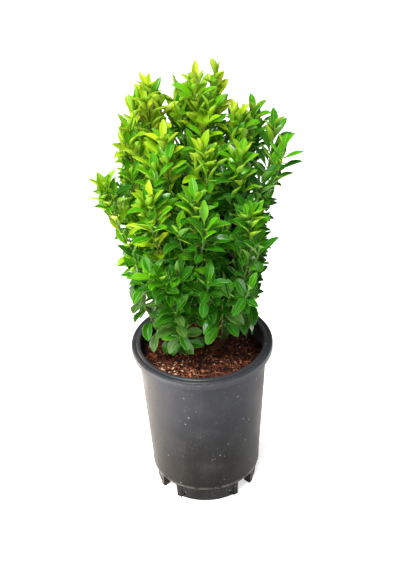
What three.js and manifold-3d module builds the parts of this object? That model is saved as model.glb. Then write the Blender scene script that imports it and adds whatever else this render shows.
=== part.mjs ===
// A potted evergreen spindle shrub: a tall nursery pot of potting mix with a clump of upright leafy shoots.
// Millimetres, +Z up, with the origin on the ground under the middle of the pot. The front is at -Y.
import * as THREE from "three";
import { mergeVertices } from "three/addons/utils/BufferGeometryUtils.js";
import Module from "manifold-3d";

const wasm = await Module();
wasm.setup();

// Sizes of the pot
const POT_HEIGHT = 216;
const RIM_RADIUS = 90;
const RIM_DROP = 9;
const RIM_ROUNDING = 2.4;
const MOUTH_RADIUS = 82.6;
const WALL_THICKNESS = 2;
const LEDGE_RADIUS = 71.2;
const FOOT_HEIGHT = 23.5;
const FOOT_TOP_RADIUS = 68.6;
const FOOT_RADIUS = 67;
const FOOT_THICKNESS = 3;
const FLOOR_UNDERSIDE = FOOT_HEIGHT;
const COLLAR_BELOW_RIM = 8;
const COLLAR_STEP = 0.9;
const POT_FACETS = 36;

// Sizes of the notches between the four feet and of their side walls, and of the drain holes
const FEET = 4;
const NOTCH_WIDTH = 24;
const NOTCH_SHIFT = THREE.MathUtils.degToRad(2);
const NOTCH_WALL = 2;
const NOTCH_INNER = 57;
const NOTCH_TOP = FOOT_HEIGHT - 3.5;
const DRAIN_WIDTH = 11;
const DRAIN_INNER = 52;
const DRAIN_OUTER = 62;

// The slits and the raised pads near each foot's ends, on the narrower feet at the sides and then on the wider ones
const SLIT_WIDTH = 2.4;
const SLIT_LOW = 5;
const SLIT_HIGH = 13;
const SLIT_ANGLES = [19, 27].map(THREE.MathUtils.degToRad);
const PAD_WIDTH = 7;
const PAD_STEP = 1.4;
const PAD_HIGH = FOOT_HEIGHT - 3;
const PAD_ANGLES = [29.3, 33.3].map(THREE.MathUtils.degToRad);

// Sizes of the potting mix
const SOIL_LEVEL = 193;
const SOIL_EDGE_LEVEL = 190;
const SOIL_FLAT_RADIUS = 50;

// Gap between pieces that touch, and the least way between two masses of leaves
const SEAT = 0.3;
const CLEAR = 1.2;

// Edges left by fusing that are shorter than this are taken out
const SCRAP = 0.15;

// Where each woody stem leaves the ground, and the stems' sizes from there to their forks
const STEM_FEET = [
  [20, 13],
  [8, 36],
  [-16, 30],
  [-8, 12],
];
const STEM_HEIGHT = 30;
const STEM_LEAN = 5;
const STEM_RADIUS = 3.6;
const STEM_FLARE = 1.8;
const FLARE_FALL = 9;
const FORK_SPREAD = 0.12;
const FORK_BARK = 0.8;

// Sizes of the boughs and of the twigs that carry the leaves
const BOUGH_RADIUS = 1.7;
const TWIG_RADIUS = 1.5;
const TIP_RADIUS = 0.7;
const BARE_SHARE = 0.13;
const BOUGH_RISE = 0.12;
const BOUGH_BEND_UP = 0.36;

// Where each leading shoot ends, and the share of its way outwards that it has gone at its bend
const SHOOT_TIPS = [
  [-51, 20, 548, 0.85],
  [-17, 57, 526, 0.85],
  [3, 12, 557, 0.85],
  [27, 60, 544, 0.85],
  [45, 6, 517, 0.85],
  [70, 46, 505, 0.75],
  [92, 18, 496, 0.62],
  [99, -16, 488, 0.4],
  [-74, -4, 508, 0.8],
  [-104, -30, 450, 0.66],
  [-34, -42, 514, 0.85],
  [8, -45, 500, 0.85],
  [-2, -86, 462, 0.85],
  [50, -44, 494, 0.85],
  [60, -82, 438, 0.85],
  [-50, -82, 462, 0.85],
  [-60, 70, 506, 0.85],
  [4, 88, 504, 0.85],
  [60, 83, 480, 0.85],
  [-83, 38, 470, 0.8],
];

// Where each short shoot ends that spreads low over the pot
const LOW_TIPS = [
  [-72, -28, 302],
  [-30, -58, 300],
  [26, -46, 302],
  [63, -24, 320],
  [70, 30, 330],
  [20, 68, 322],
  [-34, 62, 314],
  [-72, 30, 318],
];
const LOW_SEED = 100;
const LOW_START = 17;
const LOW_RADIUS = 1.3;
const LOW_BEND_OUT = 0.6;
const LOW_BEND_UP = 0.05;
const LOW_FOOT_HEIGHT = 4.2;

// How far the crown reaches to the left and right at a few heights
const CROWN = [
  { height: 250, left: 88, right: 86 },
  { height: 300, left: 92, right: 80 },
  { height: 360, left: 104, right: 92 },
  { height: 420, left: 122, right: 100 },
  { height: 470, left: 106, right: 118 },
  { height: 510, left: 96, right: 130 },
  { height: 560, left: 82, right: 74 },
];

// The slope over the potting mix that leaves keep above, and where it starts to rise on the left and right
const SKIRT_SLOPE = 0.73;
const SKIRT_BACK = 0.6;
const SKIRT_LEFT = { x: -15, start: 42 };
const SKIRT_RIGHT = { x: 12, start: 14 };

// Sizes of the leaves: they stand in crossed pairs, upright at a shoot's tip and spreading lower down
const LEAF_LENGTH = 38;
const LEAF_WIDTH = 0.56;
const LEAF_THICKNESS = 1.1;
const LEAF_NECK = 0.15;
const LEAF_SHOULDER = 0.55;
const LEAF_FOLD = 0.1;
const YOUNG_LEAF = 0.8;
const PAIR_SPACING = 23;
const LOW_PAIR_SPACING = 15;
const TIP_CROWDING = 1.15;
const TIP_ANGLE = 24;
const LOW_ANGLE = 80;
const LEAF_TURN = 0.3;
const LEAF_BELOW_TIP = 2.5;
const LEAF_STALK = 3;
const LEAF_SWAY = 0.35;
const LEAF_VARIES = 0.24;
const SPREAD_POWER = 0.6;
const GROWN_AGE = 0.33;

// What is tried in turn to keep a leaf in its own space: shares of its spread and length, with a turn between
const LEAF_TRIES = [
  [1, 0, 1],
  [1, 0.4, 1],
  [1, -0.4, 1],
  [0.75, 0.2, 1],
  [0.75, -0.2, 1],
  [0.55, 0, 1],
  [0.8, 0.3, 0.78],
  [0.8, -0.3, 0.78],
  [0.5, 0, 0.78],
  [0.8, 0.4, 0.6],
  [0.8, -0.4, 0.6],
];

// Sizes of the side twigs
const SIDE_TWIG_LENGTH = 42;
const SIDE_TWIG_VARIES = 0.5;
const SIDE_TWIG_ANGLE = 40;
const SIDE_TWIG_RISE = 0.05;
const SIDE_TWIG_EVERY = 3;
const SIDE_TWIG_BARE = 0.35;
const SIDE_TWIG_THICKNESS = 0.7;
const SIDE_SPACING = 0.8;
const STEM_STEP = 40;
const STEM_STEPS = 6;

// The finishes, with leaves from deep green low down to yellow-green at the top of the crown
const finish = (color, roughness) => new THREE.MeshStandardMaterial({ color, roughness, metalness: 0 });
const potPlastic = () => finish(0x47484a, 0.5);
const pottingMix = () => finish(0x3f241a, 1);
const bark = () => finish(0x5d5132, 0.85);
const DEEP_LEAVES = new THREE.Color(0x2f6a14);
const YOUNG_LEAVES = new THREE.Color(0x86bd16);
const DEEP_HEIGHT = 280;
const YOUNG_HEIGHT = 560;

const UP = new THREE.Vector3(0, 0, 1);
const ACROSS = new THREE.Vector3(1, 0, 0);

// A stream of numbers from 0 to 1 that is the same in every run
function seededStream(seed) {
  let state = Math.imul(seed + 1, 2654435761) >>> 0;
  return () => {
    state = (Math.imul(state, 1664525) + 1013904223) >>> 0;
    return state / 4294967296;
  };
}

// A size that varies by a share of itself, half of it each way
function varied(share, random) {
  return 1 + (random() - 0.5) * share;
}

// A closed geometry as a solid that can be joined and cut
function solidOf(geometry) {
  const bare = geometry.clone();
  bare.deleteAttribute("normal");
  bare.deleteAttribute("uv");
  const merged = mergeVertices(bare, 1e-4);
  return new wasm.Manifold(
    new wasm.Mesh({
      numProp: 3,
      vertProperties: new Float32Array(merged.attributes.position.array),
      triVerts: new Uint32Array(merged.index.array),
    }),
  );
}

// A solid's largest body as a geometry, with any sealed hollow filled and any loose scrap dropped
function geometryOf(solid) {
  const bodies = solid.decompose().sort((a, b) => b.volume() - a.volume());
  const mesh = bodies[0].getMesh();
  return new THREE.BufferGeometry()
    .setAttribute("position", new THREE.BufferAttribute(mesh.vertProperties, 3))
    .setIndex(new THREE.BufferAttribute(mesh.triVerts, 1))
    .toNonIndexed();
}

function named(name, geometry, material) {
  geometry.computeVertexNormals();
  const mesh = new THREE.Mesh(geometry, material);
  mesh.name = name;
  return mesh;
}

// A ring-shaped or round solid about the Z axis, from its half section
function turned(section) {
  const points = section.map(([radius, height]) => new THREE.Vector2(radius, height));
  return new THREE.LatheGeometry(points, POT_FACETS).rotateX(Math.PI / 2);
}

// The radius of the pot's wall on the outside, at a height
function wallRadius(height) {
  return THREE.MathUtils.mapLinear(height, FOOT_HEIGHT, POT_HEIGHT, LEDGE_RADIUS, MOUTH_RADIUS);
}

// The radius of the pot's wall on the inside, at a height
function insideRadius(height) {
  return wallRadius(height) - WALL_THICKNESS;
}

// A bar that runs outwards from the pot's axis at an angle, for a wall or a cut in the foot ring or the floor
function footBar(angle, width, low, high, inner, outer) {
  const bar = new THREE.BoxGeometry(outer - inner, width, high - low);
  return solidOf(bar.translate((inner + outer) / 2, 0, (low + high) / 2).rotateZ(angle));
}

// The pot: a tapering wall with a turned-down rim, a collar below it, a ledge, a floor and a ring of feet
function makePot() {
  const floorTop = FLOOR_UNDERSIDE + WALL_THICKNESS;
  const collarLow = POT_HEIGHT - RIM_DROP - COLLAR_BELOW_RIM;
  const lipTop = POT_HEIGHT - WALL_THICKNESS;
  const section = [
    [0, FLOOR_UNDERSIDE],
    [FOOT_RADIUS - FOOT_THICKNESS, FLOOR_UNDERSIDE],
    [FOOT_RADIUS - FOOT_THICKNESS, 0],
    [FOOT_RADIUS, 0],
    [FOOT_TOP_RADIUS, FOOT_HEIGHT - 1],
    [LEDGE_RADIUS, FOOT_HEIGHT],
    [wallRadius(collarLow), collarLow],
    [wallRadius(collarLow) + COLLAR_STEP, collarLow + COLLAR_STEP],
    [MOUTH_RADIUS + COLLAR_STEP, lipTop],
    [RIM_RADIUS - WALL_THICKNESS, lipTop],
    [RIM_RADIUS - WALL_THICKNESS, POT_HEIGHT - RIM_DROP],
    [RIM_RADIUS, POT_HEIGHT - RIM_DROP],
    [RIM_RADIUS, POT_HEIGHT - RIM_ROUNDING],
    [RIM_RADIUS - RIM_ROUNDING, POT_HEIGHT],
    [MOUTH_RADIUS, POT_HEIGHT],
    [insideRadius(POT_HEIGHT), lipTop],
    [insideRadius(floorTop), floorTop],
    [0, floorTop],
  ];
  const ringInner = NOTCH_INNER - 1;
  const ringOuter = LEDGE_RADIUS + WALL_THICKNESS;
  const wallsWidth = NOTCH_WIDTH + 2 * NOTCH_WALL;
  const walls = [];
  const cuts = [];
  for (let i = 0; i < FEET; i++) {
    const footAngle = (i / FEET) * 2 * Math.PI;
    const wide = i % 2;
    const notchAngle = footAngle + Math.PI / FEET + (wide ? NOTCH_SHIFT : -NOTCH_SHIFT);
    walls.push(footBar(notchAngle, wallsWidth, 0, FLOOR_UNDERSIDE + 1, NOTCH_INNER, FOOT_RADIUS - 2.5));
    cuts.push(footBar(notchAngle, NOTCH_WIDTH, -1, NOTCH_TOP, ringInner, ringOuter));
    cuts.push(footBar(notchAngle, DRAIN_WIDTH, NOTCH_TOP - 0.5, floorTop + 1, DRAIN_INNER, DRAIN_OUTER));
    for (const way of [-1, 1]) {
      const padAngle = footAngle + way * PAD_ANGLES[wide];
      walls.push(footBar(padAngle, PAD_WIDTH, 0, PAD_HIGH, FOOT_RADIUS - 2, FOOT_RADIUS + PAD_STEP));
      const slitAngle = footAngle + way * SLIT_ANGLES[wide];
      cuts.push(footBar(slitAngle, SLIT_WIDTH, SLIT_LOW, SLIT_HIGH, ringInner, ringOuter));
    }
  }
  const whole = wasm.Manifold.union([solidOf(turned(section)), ...walls]);
  const pot = cuts.reduce((rest, cut) => rest.subtract(cut), whole);
  return named("pot", geometryOf(pot), potPlastic());
}

// The potting mix: it fills the pot to below the rim, flat in the middle and lower at the wall
function makeSoil() {
  const low = FLOOR_UNDERSIDE + WALL_THICKNESS + SEAT;
  const section = [
    [0, low],
    [insideRadius(low) - SEAT, low],
    [insideRadius(SOIL_EDGE_LEVEL) - SEAT, SOIL_EDGE_LEVEL],
    [SOIL_FLAT_RADIUS, SOIL_LEVEL],
    [0, SOIL_LEVEL],
  ];
  return named("soil", geometryOf(solidOf(turned(section))), pottingMix());
}

// The directions at a share of a limb's curve: along it, and two across it that follow the limb's own side
function framed(curve, side, share) {
  const along = curve.getTangentAt(share);
  const second = new THREE.Vector3().crossVectors(along, side).normalize();
  const first = new THREE.Vector3().crossVectors(second, along);
  return { along, first, second };
}

// A limb along a stretch of a curve, with flat sides and a radius at each share of the curve
function limb({ curve, side, from, to, sides, steps, radiusAt }) {
  const geometry = new THREE.CylinderGeometry(1, 1, 1, sides, steps).translate(0, 0.5, 0);
  const position = geometry.attributes.position;
  const vertex = new THREE.Vector3();
  for (let i = 0; i < position.count; i++) {
    vertex.fromBufferAttribute(position, i);
    const share = THREE.MathUtils.lerp(from, to, THREE.MathUtils.clamp(vertex.y, 0, 1));
    const { first, second } = framed(curve, side, share);
    const radius = radiusAt(share);
    const place = curve.getPointAt(share);
    place.addScaledVector(first, vertex.x * radius).addScaledVector(second, -vertex.z * radius);
    position.setXYZ(i, place.x, place.y, place.z);
  }
  return geometry;
}

// The heart of a flat-sided limb at a share of its curve
function heartOf({ curve, from, to, steps }, share) {
  const step = THREE.MathUtils.mapLinear(share, from, to, 0, steps);
  const low = Math.min(Math.floor(step), steps - 1);
  const shareAt = (index) => THREE.MathUtils.lerp(from, to, index / steps);
  return curve.getPointAt(shareAt(low)).lerp(curve.getPointAt(shareAt(low + 1)), step - low);
}

// The woody stems: each leans a little outwards from the ground to a swollen fork
const feet = STEM_FEET.map(([x, y]) => new THREE.Vector3(x, y, SOIL_LEVEL + SEAT));
const clumpMiddle = feet.reduce((sum, foot) => sum.add(foot), new THREE.Vector3()).divideScalar(feet.length);
const stems = feet.map((foot, i) => {
  const out = foot.clone().sub(clumpMiddle).normalize();
  const angle = Math.atan2(out.y, out.x);
  const fork = foot.clone().addScaledVector(out, STEM_LEAN).addScaledVector(UP, STEM_HEIGHT);
  const curve = new THREE.CubicBezierCurve3(
    foot,
    foot.clone().addScaledVector(UP, STEM_HEIGHT / 3),
    fork.clone().addScaledVector(UP, -STEM_HEIGHT / 3),
    fork,
  );
  return { name: `stem_${i + 1}`, angle, foot, fork, curve, forkRadius: STEM_RADIUS };
});

// A stem's radius along its length: flared at the root and swollen at the fork
function stemRadius(stem, share) {
  const flare = STEM_FLARE * Math.exp(-share * FLARE_FALL);
  const swell = (stem.forkRadius - STEM_RADIUS) * share * share;
  return STEM_RADIUS + flare + swell;
}

function makeStem(stem) {
  const form = { from: 0, to: 1, sides: 12, steps: 5, radiusAt: (share) => stemRadius(stem, share) };
  return named(stem.name, limb({ curve: stem.curve, side: ACROSS, ...form }), bark());
}

// The stem whose side of the clump a place is on
function stemNear(place) {
  const away = (stem) => Math.cos(Math.atan2(place.y, place.x) - stem.angle);
  return stems.reduce((best, stem) => (away(stem) > away(best) ? stem : best));
}

// Each leading shoot starts on its stem's fork, set out there as the tips are above, and rises to its tip
function makeShoots() {
  const shoots = SHOOT_TIPS.map((place, i) => {
    const tip = new THREE.Vector3(...place);
    const number = String(i + 1).padStart(2, "0");
    const shoot = { number, seed: i, tip, bendOut: place[3], bare: BARE_SHARE, baseRadius: TWIG_RADIUS };
    shoot.spacing = PAIR_SPACING;
    shoot.stem = stemNear(tip);
    shoot.side = new THREE.Vector3(Math.cos(i), Math.sin(i), 0);
    return shoot;
  });
  for (const stem of stems) {
    const mine = shoots.filter((shoot) => shoot.stem === stem);
    const middle = new THREE.Vector3();
    mine.forEach((shoot) => middle.addScaledVector(shoot.tip, 1 / mine.length));
    for (const shoot of mine) {
      const offset = new THREE.Vector3().subVectors(shoot.tip, middle).setZ(0).multiplyScalar(FORK_SPREAD);
      const start = stem.fork.clone().add(offset).addScaledVector(UP, SEAT);
      const rise = shoot.tip.z - start.z;
      const bend = new THREE.Vector3().lerpVectors(start, shoot.tip, shoot.bendOut);
      bend.z = start.z + rise * BOUGH_BEND_UP;
      const straight = start.clone().addScaledVector(UP, rise * BOUGH_RISE);
      shoot.curve = new THREE.CubicBezierCurve3(start, straight, bend, shoot.tip);
      stem.forkRadius = Math.max(stem.forkRadius, offset.length() + BOUGH_RADIUS + FORK_BARK);
    }
  }
  return shoots;
}

// Each low shoot starts on the side of a stem and spreads outwards over the potting mix
function makeLowShoots() {
  return LOW_TIPS.map((place, i) => {
    const tip = new THREE.Vector3(...place);
    const stem = stemNear(tip);
    const share = LOW_START / STEM_HEIGHT;
    const heart = stem.curve.getPointAt(share);
    const out = new THREE.Vector3().subVectors(tip, heart).setZ(0).normalize();
    const reach = stemRadius(stem, share + LOW_FOOT_HEIGHT / STEM_HEIGHT) + SEAT;
    const start = heart.clone().addScaledVector(out, reach);
    const middle = new THREE.Vector3().lerpVectors(start, tip, LOW_BEND_OUT);
    middle.z = THREE.MathUtils.lerp(start.z, tip.z, LOW_BEND_UP);
    const curve = new THREE.QuadraticBezierCurve3(start, middle, tip);
    const side = new THREE.Vector3().crossVectors(UP, out);
    const form = { bare: 0, baseRadius: LOW_RADIUS, spacing: LOW_PAIR_SPACING };
    return { number: String(i + 1), seed: LOW_SEED + i, tip, stem, curve, side, ...form };
  });
}

const shoots = makeShoots();
const lowShoots = makeLowShoots();
const allShoots = [...shoots, ...lowShoots];
for (const shoot of allShoots) {
  shoot.length = shoot.curve.getLength();
  shoot.path = shoot.curve.getSpacedPoints(24);
}
for (const stem of stems) stem.path = stem.curve.getSpacedPoints(4);

// The way from a place to a path of straight pieces
function wayTo(place, path) {
  const nearest = new THREE.Vector3();
  const piece = new THREE.Line3();
  let least = Infinity;
  for (let i = 1; i < path.length; i++) {
    piece.set(path[i - 1], path[i]).closestPointToPoint(place, true, nearest);
    least = Math.min(least, nearest.distanceTo(place));
  }
  return least;
}

// Whether a place is over the potting mix and inside the wall, or over the rim
function clearOfPot(place) {
  const radius = Math.hypot(place.x, place.y);
  if (place.z > POT_HEIGHT + CLEAR) return true;
  return place.z > SOIL_LEVEL + CLEAR && radius < insideRadius(SOIL_EDGE_LEVEL) - CLEAR;
}

// How far the crown reaches to one side at a height, between the heights that are given
function crownReach(height, side) {
  const above = CROWN.findIndex((level) => level.height > height);
  if (above < 0) return CROWN.at(-1)[side];
  if (above === 0) return CROWN[0][side];
  const low = CROWN[above - 1];
  const high = CROWN[above];
  return THREE.MathUtils.mapLinear(height, low.height, high.height, low[side], high[side]);
}

function inCrown(place) {
  return Math.abs(place.x) < crownReach(place.z, place.x < 0 ? "left" : "right");
}

// Whether a place keeps above a slope that rises outwards over the pot, so that the potting mix shows
function showsSoil(place) {
  const x = THREE.MathUtils.clamp(place.x, SKIRT_LEFT.x, SKIRT_RIGHT.x);
  const start = THREE.MathUtils.mapLinear(x, SKIRT_LEFT.x, SKIRT_RIGHT.x, SKIRT_LEFT.start, SKIRT_RIGHT.start);
  const ahead = Math.max(-place.y, SKIRT_BACK * place.y);
  return place.z > POT_HEIGHT + SKIRT_SLOPE * (ahead - start);
}

// Whether a place lies in a shoot's own space: nearer to it than to any other shoot, and clear of stems and pot
function inOwnSpace(place, shoot) {
  if (!clearOfPot(place) || !inCrown(place) || !showsSoil(place)) return false;
  if (stems.some((stem) => wayTo(place, stem.path) < stem.forkRadius + CLEAR)) return false;
  const own = wayTo(place, shoot.path);
  return allShoots.every((other) => other === shoot || wayTo(place, other.path) > own + CLEAR);
}

// A leaf: four corners round a folded blade that is thickest at its neck
function leafBlade(root, direction, normal, length) {
  const side = new THREE.Vector3().crossVectors(direction, normal);
  const blade = new THREE.SphereGeometry(1, 4, 2);
  const position = blade.attributes.position;
  for (let i = 0; i < position.count; i++) {
    const across = position.getZ(i);
    const high = position.getY(i);
    const ends = (position.getX(i) + 1) / 2;
    const outline = THREE.MathUtils.lerp(ends, LEAF_SHOULDER, Math.abs(across));
    const along = Math.abs(high) > 0.5 ? LEAF_NECK : outline;
    const lift = (high * LEAF_THICKNESS) / 2 + Math.abs(across) * LEAF_FOLD * length;
    position.setXYZ(i, along * length, lift, (across * LEAF_WIDTH * length) / 2);
  }
  return blade.applyMatrix4(new THREE.Matrix4().makeBasis(direction, normal, side).setPosition(root));
}

function corners(geometry) {
  const position = geometry.attributes.position;
  return Array.from({ length: position.count }, (_, i) => new THREE.Vector3().fromBufferAttribute(position, i));
}

// A leaf that leaves a twig sideways, drawn in until it keeps to its own space and off other leaves, or nothing
function fittingLeaf(root, tangent, across, angle, length, shoot, taken) {
  for (const [spread, turn, share] of LEAF_TRIES) {
    const lift = angle * spread;
    const out = across.clone().applyAxisAngle(tangent, turn);
    const direction = tangent.clone().multiplyScalar(Math.cos(lift)).addScaledVector(out, Math.sin(lift));
    const normal = tangent.clone().multiplyScalar(Math.sin(lift)).addScaledVector(out, -Math.cos(lift));
    const blade = leafBlade(root, direction, normal, length * share);
    if (!corners(blade).every((corner) => inOwnSpace(corner, shoot))) continue;
    const neck = root.clone().addScaledVector(direction, LEAF_STALK);
    const free = solidOf(leafBlade(neck, direction, normal, length * share - LEAF_STALK));
    if (taken.some((solid) => !solid.intersect(free).isEmpty())) continue;
    taken.push(free);
    return blade;
  }
  return null;
}

// The leaves of one twig: crossed pairs from its foot to its tip
function leavesAlong(twig, shoot, random, taken) {
  const { curve, side, spacing } = twig;
  const from = twig.leavesFrom;
  const leaves = [];
  const top = 1 - LEAF_BELOW_TIP / curve.getLength();
  const count = Math.max(1, Math.round((curve.getLength() * (top - from)) / spacing));
  for (let pair = 1; pair <= count; pair++) {
    const age = Math.pow(1 - pair / count, TIP_CROWDING);
    const share = THREE.MathUtils.lerp(top, from, age);
    const { along, first } = framed(curve, side, share);
    const turn = Math.PI / 4 + (pair * Math.PI) / 2 + (random() - 0.5) * LEAF_TURN;
    const across = first.applyAxisAngle(along, turn);
    const spread = THREE.MathUtils.lerp(TIP_ANGLE, LOW_ANGLE, Math.pow(age, SPREAD_POWER));
    const angle = THREE.MathUtils.degToRad(spread);
    const size = LEAF_LENGTH * THREE.MathUtils.lerp(YOUNG_LEAF, 1, Math.min(1, age / GROWN_AGE));
    for (const way of [1, -1]) {
      const out = across.clone().multiplyScalar(way);
      const lift = angle + (random() - 0.5) * LEAF_SWAY;
      const length = size * varied(LEAF_VARIES, random);
      const leaf = fittingLeaf(heartOf(twig, share), along, out, lift, length, shoot, taken);
      if (leaf) leaves.push(leaf);
    }
  }
  return leaves;
}

// A short side twig that leaves a shoot and bends up, or nothing where it would leave the shoot's space
function sideTwig(shoot, share, turn, length) {
  const { along, first } = framed(shoot.curve, shoot.side, share);
  const out = first.applyAxisAngle(along, turn);
  const lean = THREE.MathUtils.degToRad(SIDE_TWIG_ANGLE);
  const start = shoot.curve.getPointAt(share);
  const middle = start.clone().addScaledVector(along, (Math.cos(lean) * length) / 2);
  middle.addScaledVector(out, (Math.sin(lean) * length) / 2);
  const end = middle.clone().addScaledVector(along, length / 2).addScaledVector(UP, length * SIDE_TWIG_RISE);
  const curve = new THREE.QuadraticBezierCurve3(start, middle, end);
  if (!curve.getSpacedPoints(6).slice(1).every((place) => inOwnSpace(place, shoot))) return null;
  return { curve, side: new THREE.Vector3().crossVectors(along, out) };
}

// The twigs of a shoot: its own leafy stem, with a side for each leaf of two crossed pairs, and the side twigs
function makeTwigs(shoot, random) {
  const from = shoot.bare + SEAT / shoot.length;
  const leafyLength = shoot.length * (1 - from);
  const steps = Math.max(STEM_STEPS, Math.round(leafyLength / STEM_STEP));
  const taper = (share) => THREE.MathUtils.mapLinear(share, from, 1, shoot.baseRadius, TIP_RADIUS);
  const form = { from, to: 1, sides: 4, steps, radiusAt: taper, leavesFrom: from, spacing: shoot.spacing };
  const twigs = [{ curve: shoot.curve, side: shoot.side, ...form }];
  const places = Math.floor(leafyLength / PAIR_SPACING);
  for (let i = SIDE_TWIG_EVERY - 1; i < places - 2; i += SIDE_TWIG_EVERY) {
    const share = THREE.MathUtils.lerp(from, 1, (i + 0.5) / places);
    const length = SIDE_TWIG_LENGTH * varied(SIDE_TWIG_VARIES, random);
    const twig = sideTwig(shoot, share, random() * 2 * Math.PI, length);
    if (!twig) continue;
    const radius = taper(share) * SIDE_TWIG_THICKNESS;
    const radiusAt = (along) => THREE.MathUtils.lerp(radius, TIP_RADIUS, along);
    const spacing = PAIR_SPACING * SIDE_SPACING;
    twigs.push({ ...twig, from: 0, to: 1, sides: 3, steps: 1, radiusAt, leavesFrom: SIDE_TWIG_BARE, spacing });
  }
  return twigs;
}

// A mass of leaves: a shoot's twigs and leaves, all fused
function makeFoliage(name, shoot) {
  const random = seededStream(shoot.seed);
  const twigs = makeTwigs(shoot, random);
  const limbs = twigs.map(limb);
  const taken = limbs.map(solidOf);
  const leaves = twigs.flatMap((twig) => leavesAlong(twig, shoot, random, taken));
  const fused = wasm.Manifold.union([...limbs, ...leaves].map(solidOf)).asOriginal().simplify(SCRAP);
  const youth = THREE.MathUtils.smoothstep(shoot.tip.z, DEEP_HEIGHT, YOUNG_HEIGHT);
  return named(name, geometryOf(fused), finish(DEEP_LEAVES.clone().lerp(YOUNG_LEAVES, youth), 0.4));
}

// A bough: the bare stretch of a shoot, from the fork to where it enters its leaves
function makeBough(shoot) {
  const taper = (share) => THREE.MathUtils.mapLinear(share, 0, shoot.bare, BOUGH_RADIUS, TWIG_RADIUS);
  const form = { from: 0, to: shoot.bare, sides: 5, steps: 2, radiusAt: taper };
  return named(`bough_${shoot.number}`, limb({ curve: shoot.curve, side: shoot.side, ...form }), bark());
}

const plant = new THREE.Group();
plant.name = "potted_spindle";
plant.add(makePot(), makeSoil());
plant.add(...stems.map(makeStem));
plant.add(...shoots.map(makeBough));
plant.add(...shoots.map((shoot) => makeFoliage(`foliage_${shoot.number}`, shoot)));
plant.add(...lowShoots.map((shoot) => makeFoliage(`low_foliage_${shoot.number}`, shoot)));

export default plant;
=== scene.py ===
"""A potted evergreen spindle shrub: a tall nursery pot of potting mix with a clump of leafy shoots.

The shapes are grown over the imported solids. Metres, +Z up, with the origin on the ground under the pot and
the front at -Y.
"""

import math
from typing import NamedTuple

import bpy
import numpy as np
from bpy.props import FloatProperty, FloatVectorProperty, IntProperty, PointerProperty
from mathutils import Matrix, Vector, noise


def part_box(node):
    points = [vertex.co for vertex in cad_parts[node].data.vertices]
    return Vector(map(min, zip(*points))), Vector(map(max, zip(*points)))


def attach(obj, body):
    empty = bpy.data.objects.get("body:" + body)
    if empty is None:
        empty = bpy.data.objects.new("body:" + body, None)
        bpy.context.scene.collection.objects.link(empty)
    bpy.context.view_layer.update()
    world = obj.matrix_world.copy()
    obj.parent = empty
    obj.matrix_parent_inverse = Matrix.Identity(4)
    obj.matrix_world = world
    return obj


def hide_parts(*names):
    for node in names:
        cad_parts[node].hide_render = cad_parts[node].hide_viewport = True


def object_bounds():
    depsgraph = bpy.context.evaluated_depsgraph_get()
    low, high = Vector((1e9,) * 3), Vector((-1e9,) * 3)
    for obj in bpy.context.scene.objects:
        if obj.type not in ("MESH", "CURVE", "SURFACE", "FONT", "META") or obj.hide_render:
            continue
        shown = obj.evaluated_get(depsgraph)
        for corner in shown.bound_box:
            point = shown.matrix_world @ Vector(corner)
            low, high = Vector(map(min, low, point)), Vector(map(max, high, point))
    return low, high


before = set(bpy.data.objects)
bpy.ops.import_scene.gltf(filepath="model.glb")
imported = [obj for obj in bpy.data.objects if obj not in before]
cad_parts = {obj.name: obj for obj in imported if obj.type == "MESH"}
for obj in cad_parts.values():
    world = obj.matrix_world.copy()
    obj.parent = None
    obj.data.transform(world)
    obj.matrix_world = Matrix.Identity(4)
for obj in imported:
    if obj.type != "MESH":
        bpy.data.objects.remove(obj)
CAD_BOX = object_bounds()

bl_info = {
    "name": "Potted spindle shrub",
    "version": (1, 0, 0),
    "blender": (4, 5, 0),
    "location": "3D View > Sidebar > Spindle",
    "description": "Grows a potted evergreen spindle shrub over its packed solids",
    "category": "Add Mesh",
}

POT_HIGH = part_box("pot")[1]
SOIL_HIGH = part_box("soil")[1]
UP = np.array([0.0, 0.0, 1.0])
FULL_TURN = 2 * math.pi

# Where each leading shoot ends, and the share of its way outwards that it has gone at its bend
SHOOT_TIPS = [
    (-0.051, 0.020, 0.548, 0.85),
    (-0.017, 0.057, 0.526, 0.85),
    (0.003, 0.012, 0.557, 0.85),
    (0.027, 0.060, 0.544, 0.85),
    (0.045, 0.006, 0.517, 0.85),
    (0.070, 0.046, 0.505, 0.75),
    (0.092, 0.018, 0.496, 0.62),
    (0.099, -0.016, 0.488, 0.40),
    (-0.074, -0.004, 0.508, 0.80),
    (-0.104, -0.030, 0.450, 0.66),
    (-0.034, -0.042, 0.514, 0.85),
    (0.008, -0.045, 0.500, 0.85),
    (-0.002, -0.086, 0.462, 0.85),
    (0.050, -0.044, 0.494, 0.85),
    (0.060, -0.082, 0.438, 0.85),
    (-0.050, -0.082, 0.462, 0.85),
    (-0.060, 0.070, 0.506, 0.85),
    (0.004, 0.088, 0.504, 0.85),
    (0.060, 0.083, 0.480, 0.85),
    (-0.083, 0.038, 0.470, 0.80),
]

# Where each short shoot ends that spreads low over the pot
LOW_TIPS = [
    (-0.072, -0.028, 0.302),
    (-0.030, -0.058, 0.300),
    (0.026, -0.046, 0.302),
    (0.063, -0.024, 0.320),
    (0.070, 0.030, 0.330),
    (0.020, 0.068, 0.322),
    (-0.034, 0.062, 0.314),
    (-0.072, 0.030, 0.318),
]

# How far the crown reaches to the left and right at a few heights, as they look from the front and above
CROWN_HEIGHTS = (0.250, 0.285, 0.320, 0.350, 0.392, 0.412, 0.440, 0.460, 0.488, 0.505, 0.530, 0.556, 0.580)
CROWN_LEFT = (0.082, 0.087, 0.096, 0.097, 0.098, 0.121, 0.112, 0.088, 0.092, 0.088, 0.083, 0.077, 0.058)
CROWN_RIGHT = (0.058, 0.074, 0.078, 0.086, 0.086, 0.098, 0.104, 0.120, 0.128, 0.110, 0.092, 0.045, 0.034)
SEEN_SLOPE = 0.658

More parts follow.
